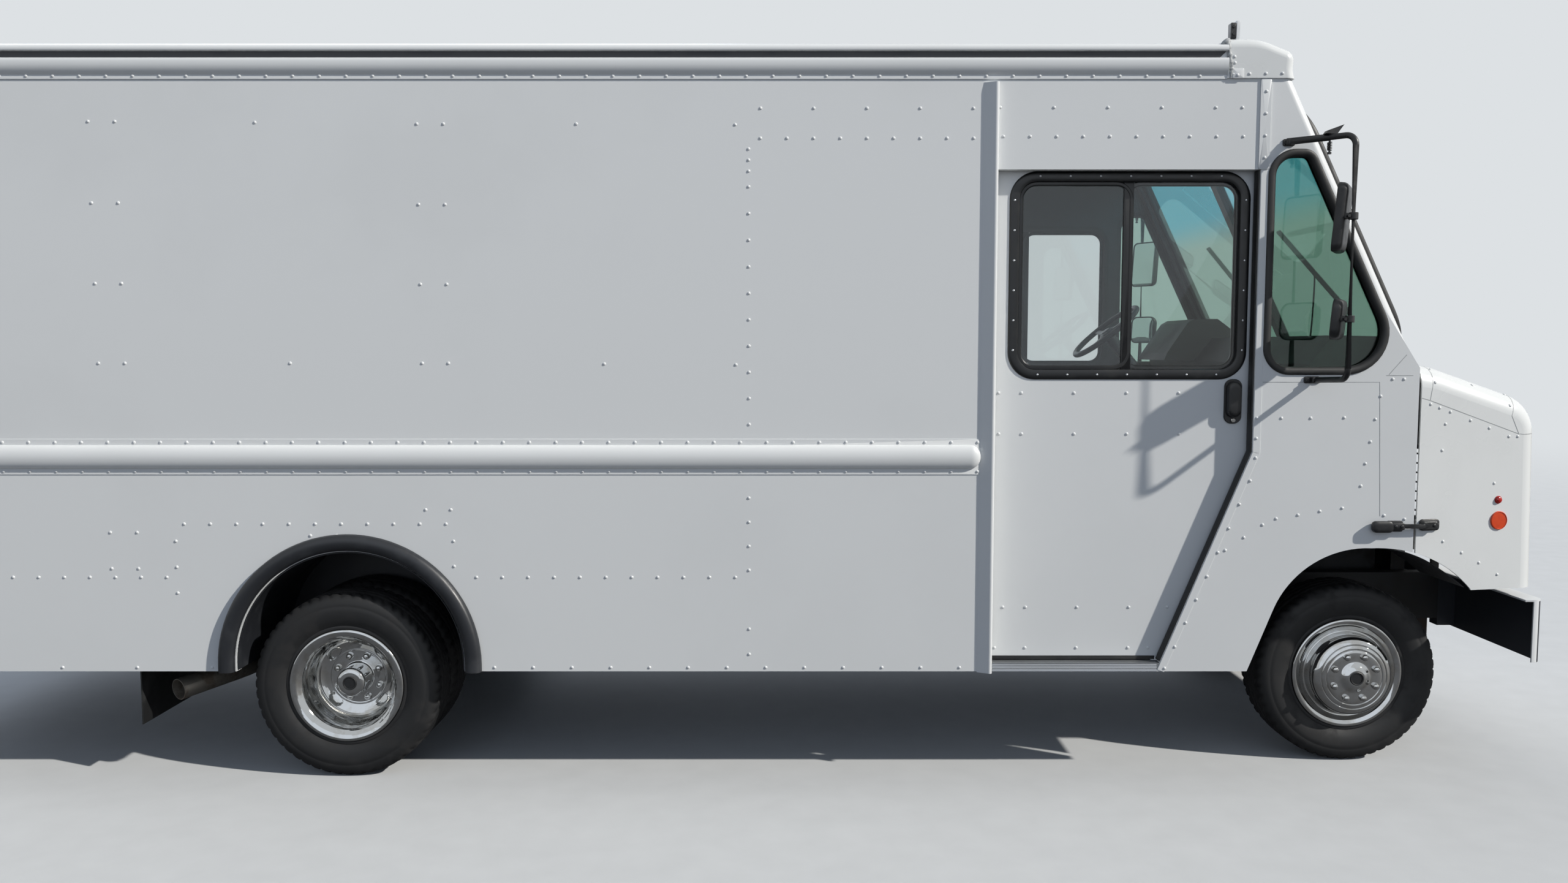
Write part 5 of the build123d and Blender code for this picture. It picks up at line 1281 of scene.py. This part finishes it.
def floor_finish():
    """Pale concrete sealer. From FADE_FROM to FADE_TO metres away, camera rays see it blend into the
    background. For light that it passes on to the van, and in what metal mirrors, it is as dark as a road."""
    material, tree = blank_material("pale_floor")
    place = node(tree, "TexCoord").outputs["Object"]
    length = node(tree, "VectorMath", {0: place}, operation="LENGTH").outputs["Value"]
    fade = {"Value": length, "From Min": FADE_FROM, "From Max": FADE_TO}
    far = node(tree, "MapRange", fade, interpolation_type="SMOOTHSTEP").outputs["Result"]
    ray = node(tree, "LightPath")
    share = node(tree, "Math", {0: far, 1: ray.outputs["Is Camera Ray"]}, operation="MULTIPLY").outputs[0]
    mottle = node(tree, "TexNoise", {"Vector": place, "Scale": 6.0, "Detail": 8.0}).outputs["Fac"]
    tone = node(tree, "Mix", {0: mottle, 6: linear("C2C4C5"), 7: linear("CDCFD0")}, data_type="RGBA")
    seen = node(tree, "Math", {0: ray.outputs["Is Camera Ray"], 1: ray.outputs["Is Transmission Ray"]},
                operation="MAXIMUM").outputs[0]
    tone = node(tree, "Mix", {0: seen, 6: linear(ROAD), 7: tone.outputs[2]}, data_type="RGBA")
    matt = node(tree, "BsdfPrincipled", {"Base Color": tone.outputs[2], "Roughness": 0.8})
    glow = node(tree, "Emission", {"Color": linear(BACKGROUND), "Strength": 1.0})
    shade = node(tree, "MixShader", {0: share, 1: matt.outputs[0], 2: glow.outputs[0]})
    node(tree, "OutputMaterial", {"Surface": shade.outputs[0]})
    return material


floor_mesh = bpy.data.meshes.new("floor")
floor_mesh.from_pydata([(-FLOOR_HALF, -FLOOR_HALF, 0), (FLOOR_HALF, -FLOOR_HALF, 0),
                        (FLOOR_HALF, FLOOR_HALF, 0), (-FLOOR_HALF, FLOOR_HALF, 0)], [], [(0, 1, 2, 3)])
floor_mesh.materials.append(floor_finish())
floor = bpy.data.objects.new("floor", floor_mesh)
bpy.context.scene.collection.objects.link(floor)

# The world is bright where it is seen or mirrored, and a dim blue as light
world = bpy.data.worlds.new("studio")
bpy.context.scene.world = world
world.use_nodes = True
sky = world.node_tree
sky.nodes.clear()
path = node(sky, "LightPath")
mirrored = node(sky, "Math", {0: path.outputs["Is Glossy Ray"], 1: path.outputs["Is Transmission Ray"]},
                operation="MAXIMUM").outputs[0]
shown = node(sky, "Math", {0: mirrored, 1: path.outputs["Is Camera Ray"]}, operation="MAXIMUM").outputs[0]
fill_light = node(sky, "Background", {"Color": linear("C8D8F0"), "Strength": 0.36})
pale = node(sky, "Background", {"Color": linear(BACKGROUND), "Strength": 1.0})
lit = node(sky, "MixShader", {0: shown, 1: fill_light.outputs[0], 2: pale.outputs[0]})
node(sky, "OutputWorld", {"Surface": lit.outputs[0]})


def sun(name, travels, strength, spread, colour):
    """A sun lamp whose light travels along a direction, with soft shadow edges from its spread."""
    lamp = bpy.data.lights.new(name, "SUN")
    lamp.energy, lamp.angle, lamp.color = strength, math.radians(spread), linear(colour)[:3]
    made = bpy.data.objects.new(name, lamp)
    ahead = np.asarray(travels, float) / np.linalg.norm(travels)
    made.rotation_euler = (math.acos(-ahead[2]), 0, math.atan2(-ahead[0], ahead[1]))
    bpy.context.scene.collection.objects.link(made)


sun("key", (-0.765, 0.324, -0.556), 4.05, 1.2, "FFFBF4")
sun("near_side_fill", (0.15, 1.0, -0.3), 0.28, 60, "D2E0F5")
sun("far_side_fill", (0.45, -0.78, -0.43), 0.7, 50, "E6EEFA")

# The camera as solved from the photograph: lens, place in metres, and a pitch of 4.407 degrees down
camera_lens = bpy.data.cameras.new("photograph")
camera_lens.lens, camera_lens.sensor_width, camera_lens.clip_end = 27.42, 36, 200
camera = bpy.data.objects.new("photograph", camera_lens)
camera.location = (0.473, -6.301, 1.894)
camera.rotation_euler = (math.radians(90 - 4.407), 0, 0)
bpy.context.scene.collection.objects.link(camera)
bpy.context.scene.camera = camera
bpy.context.scene.view_settings.view_transform = "Standard"
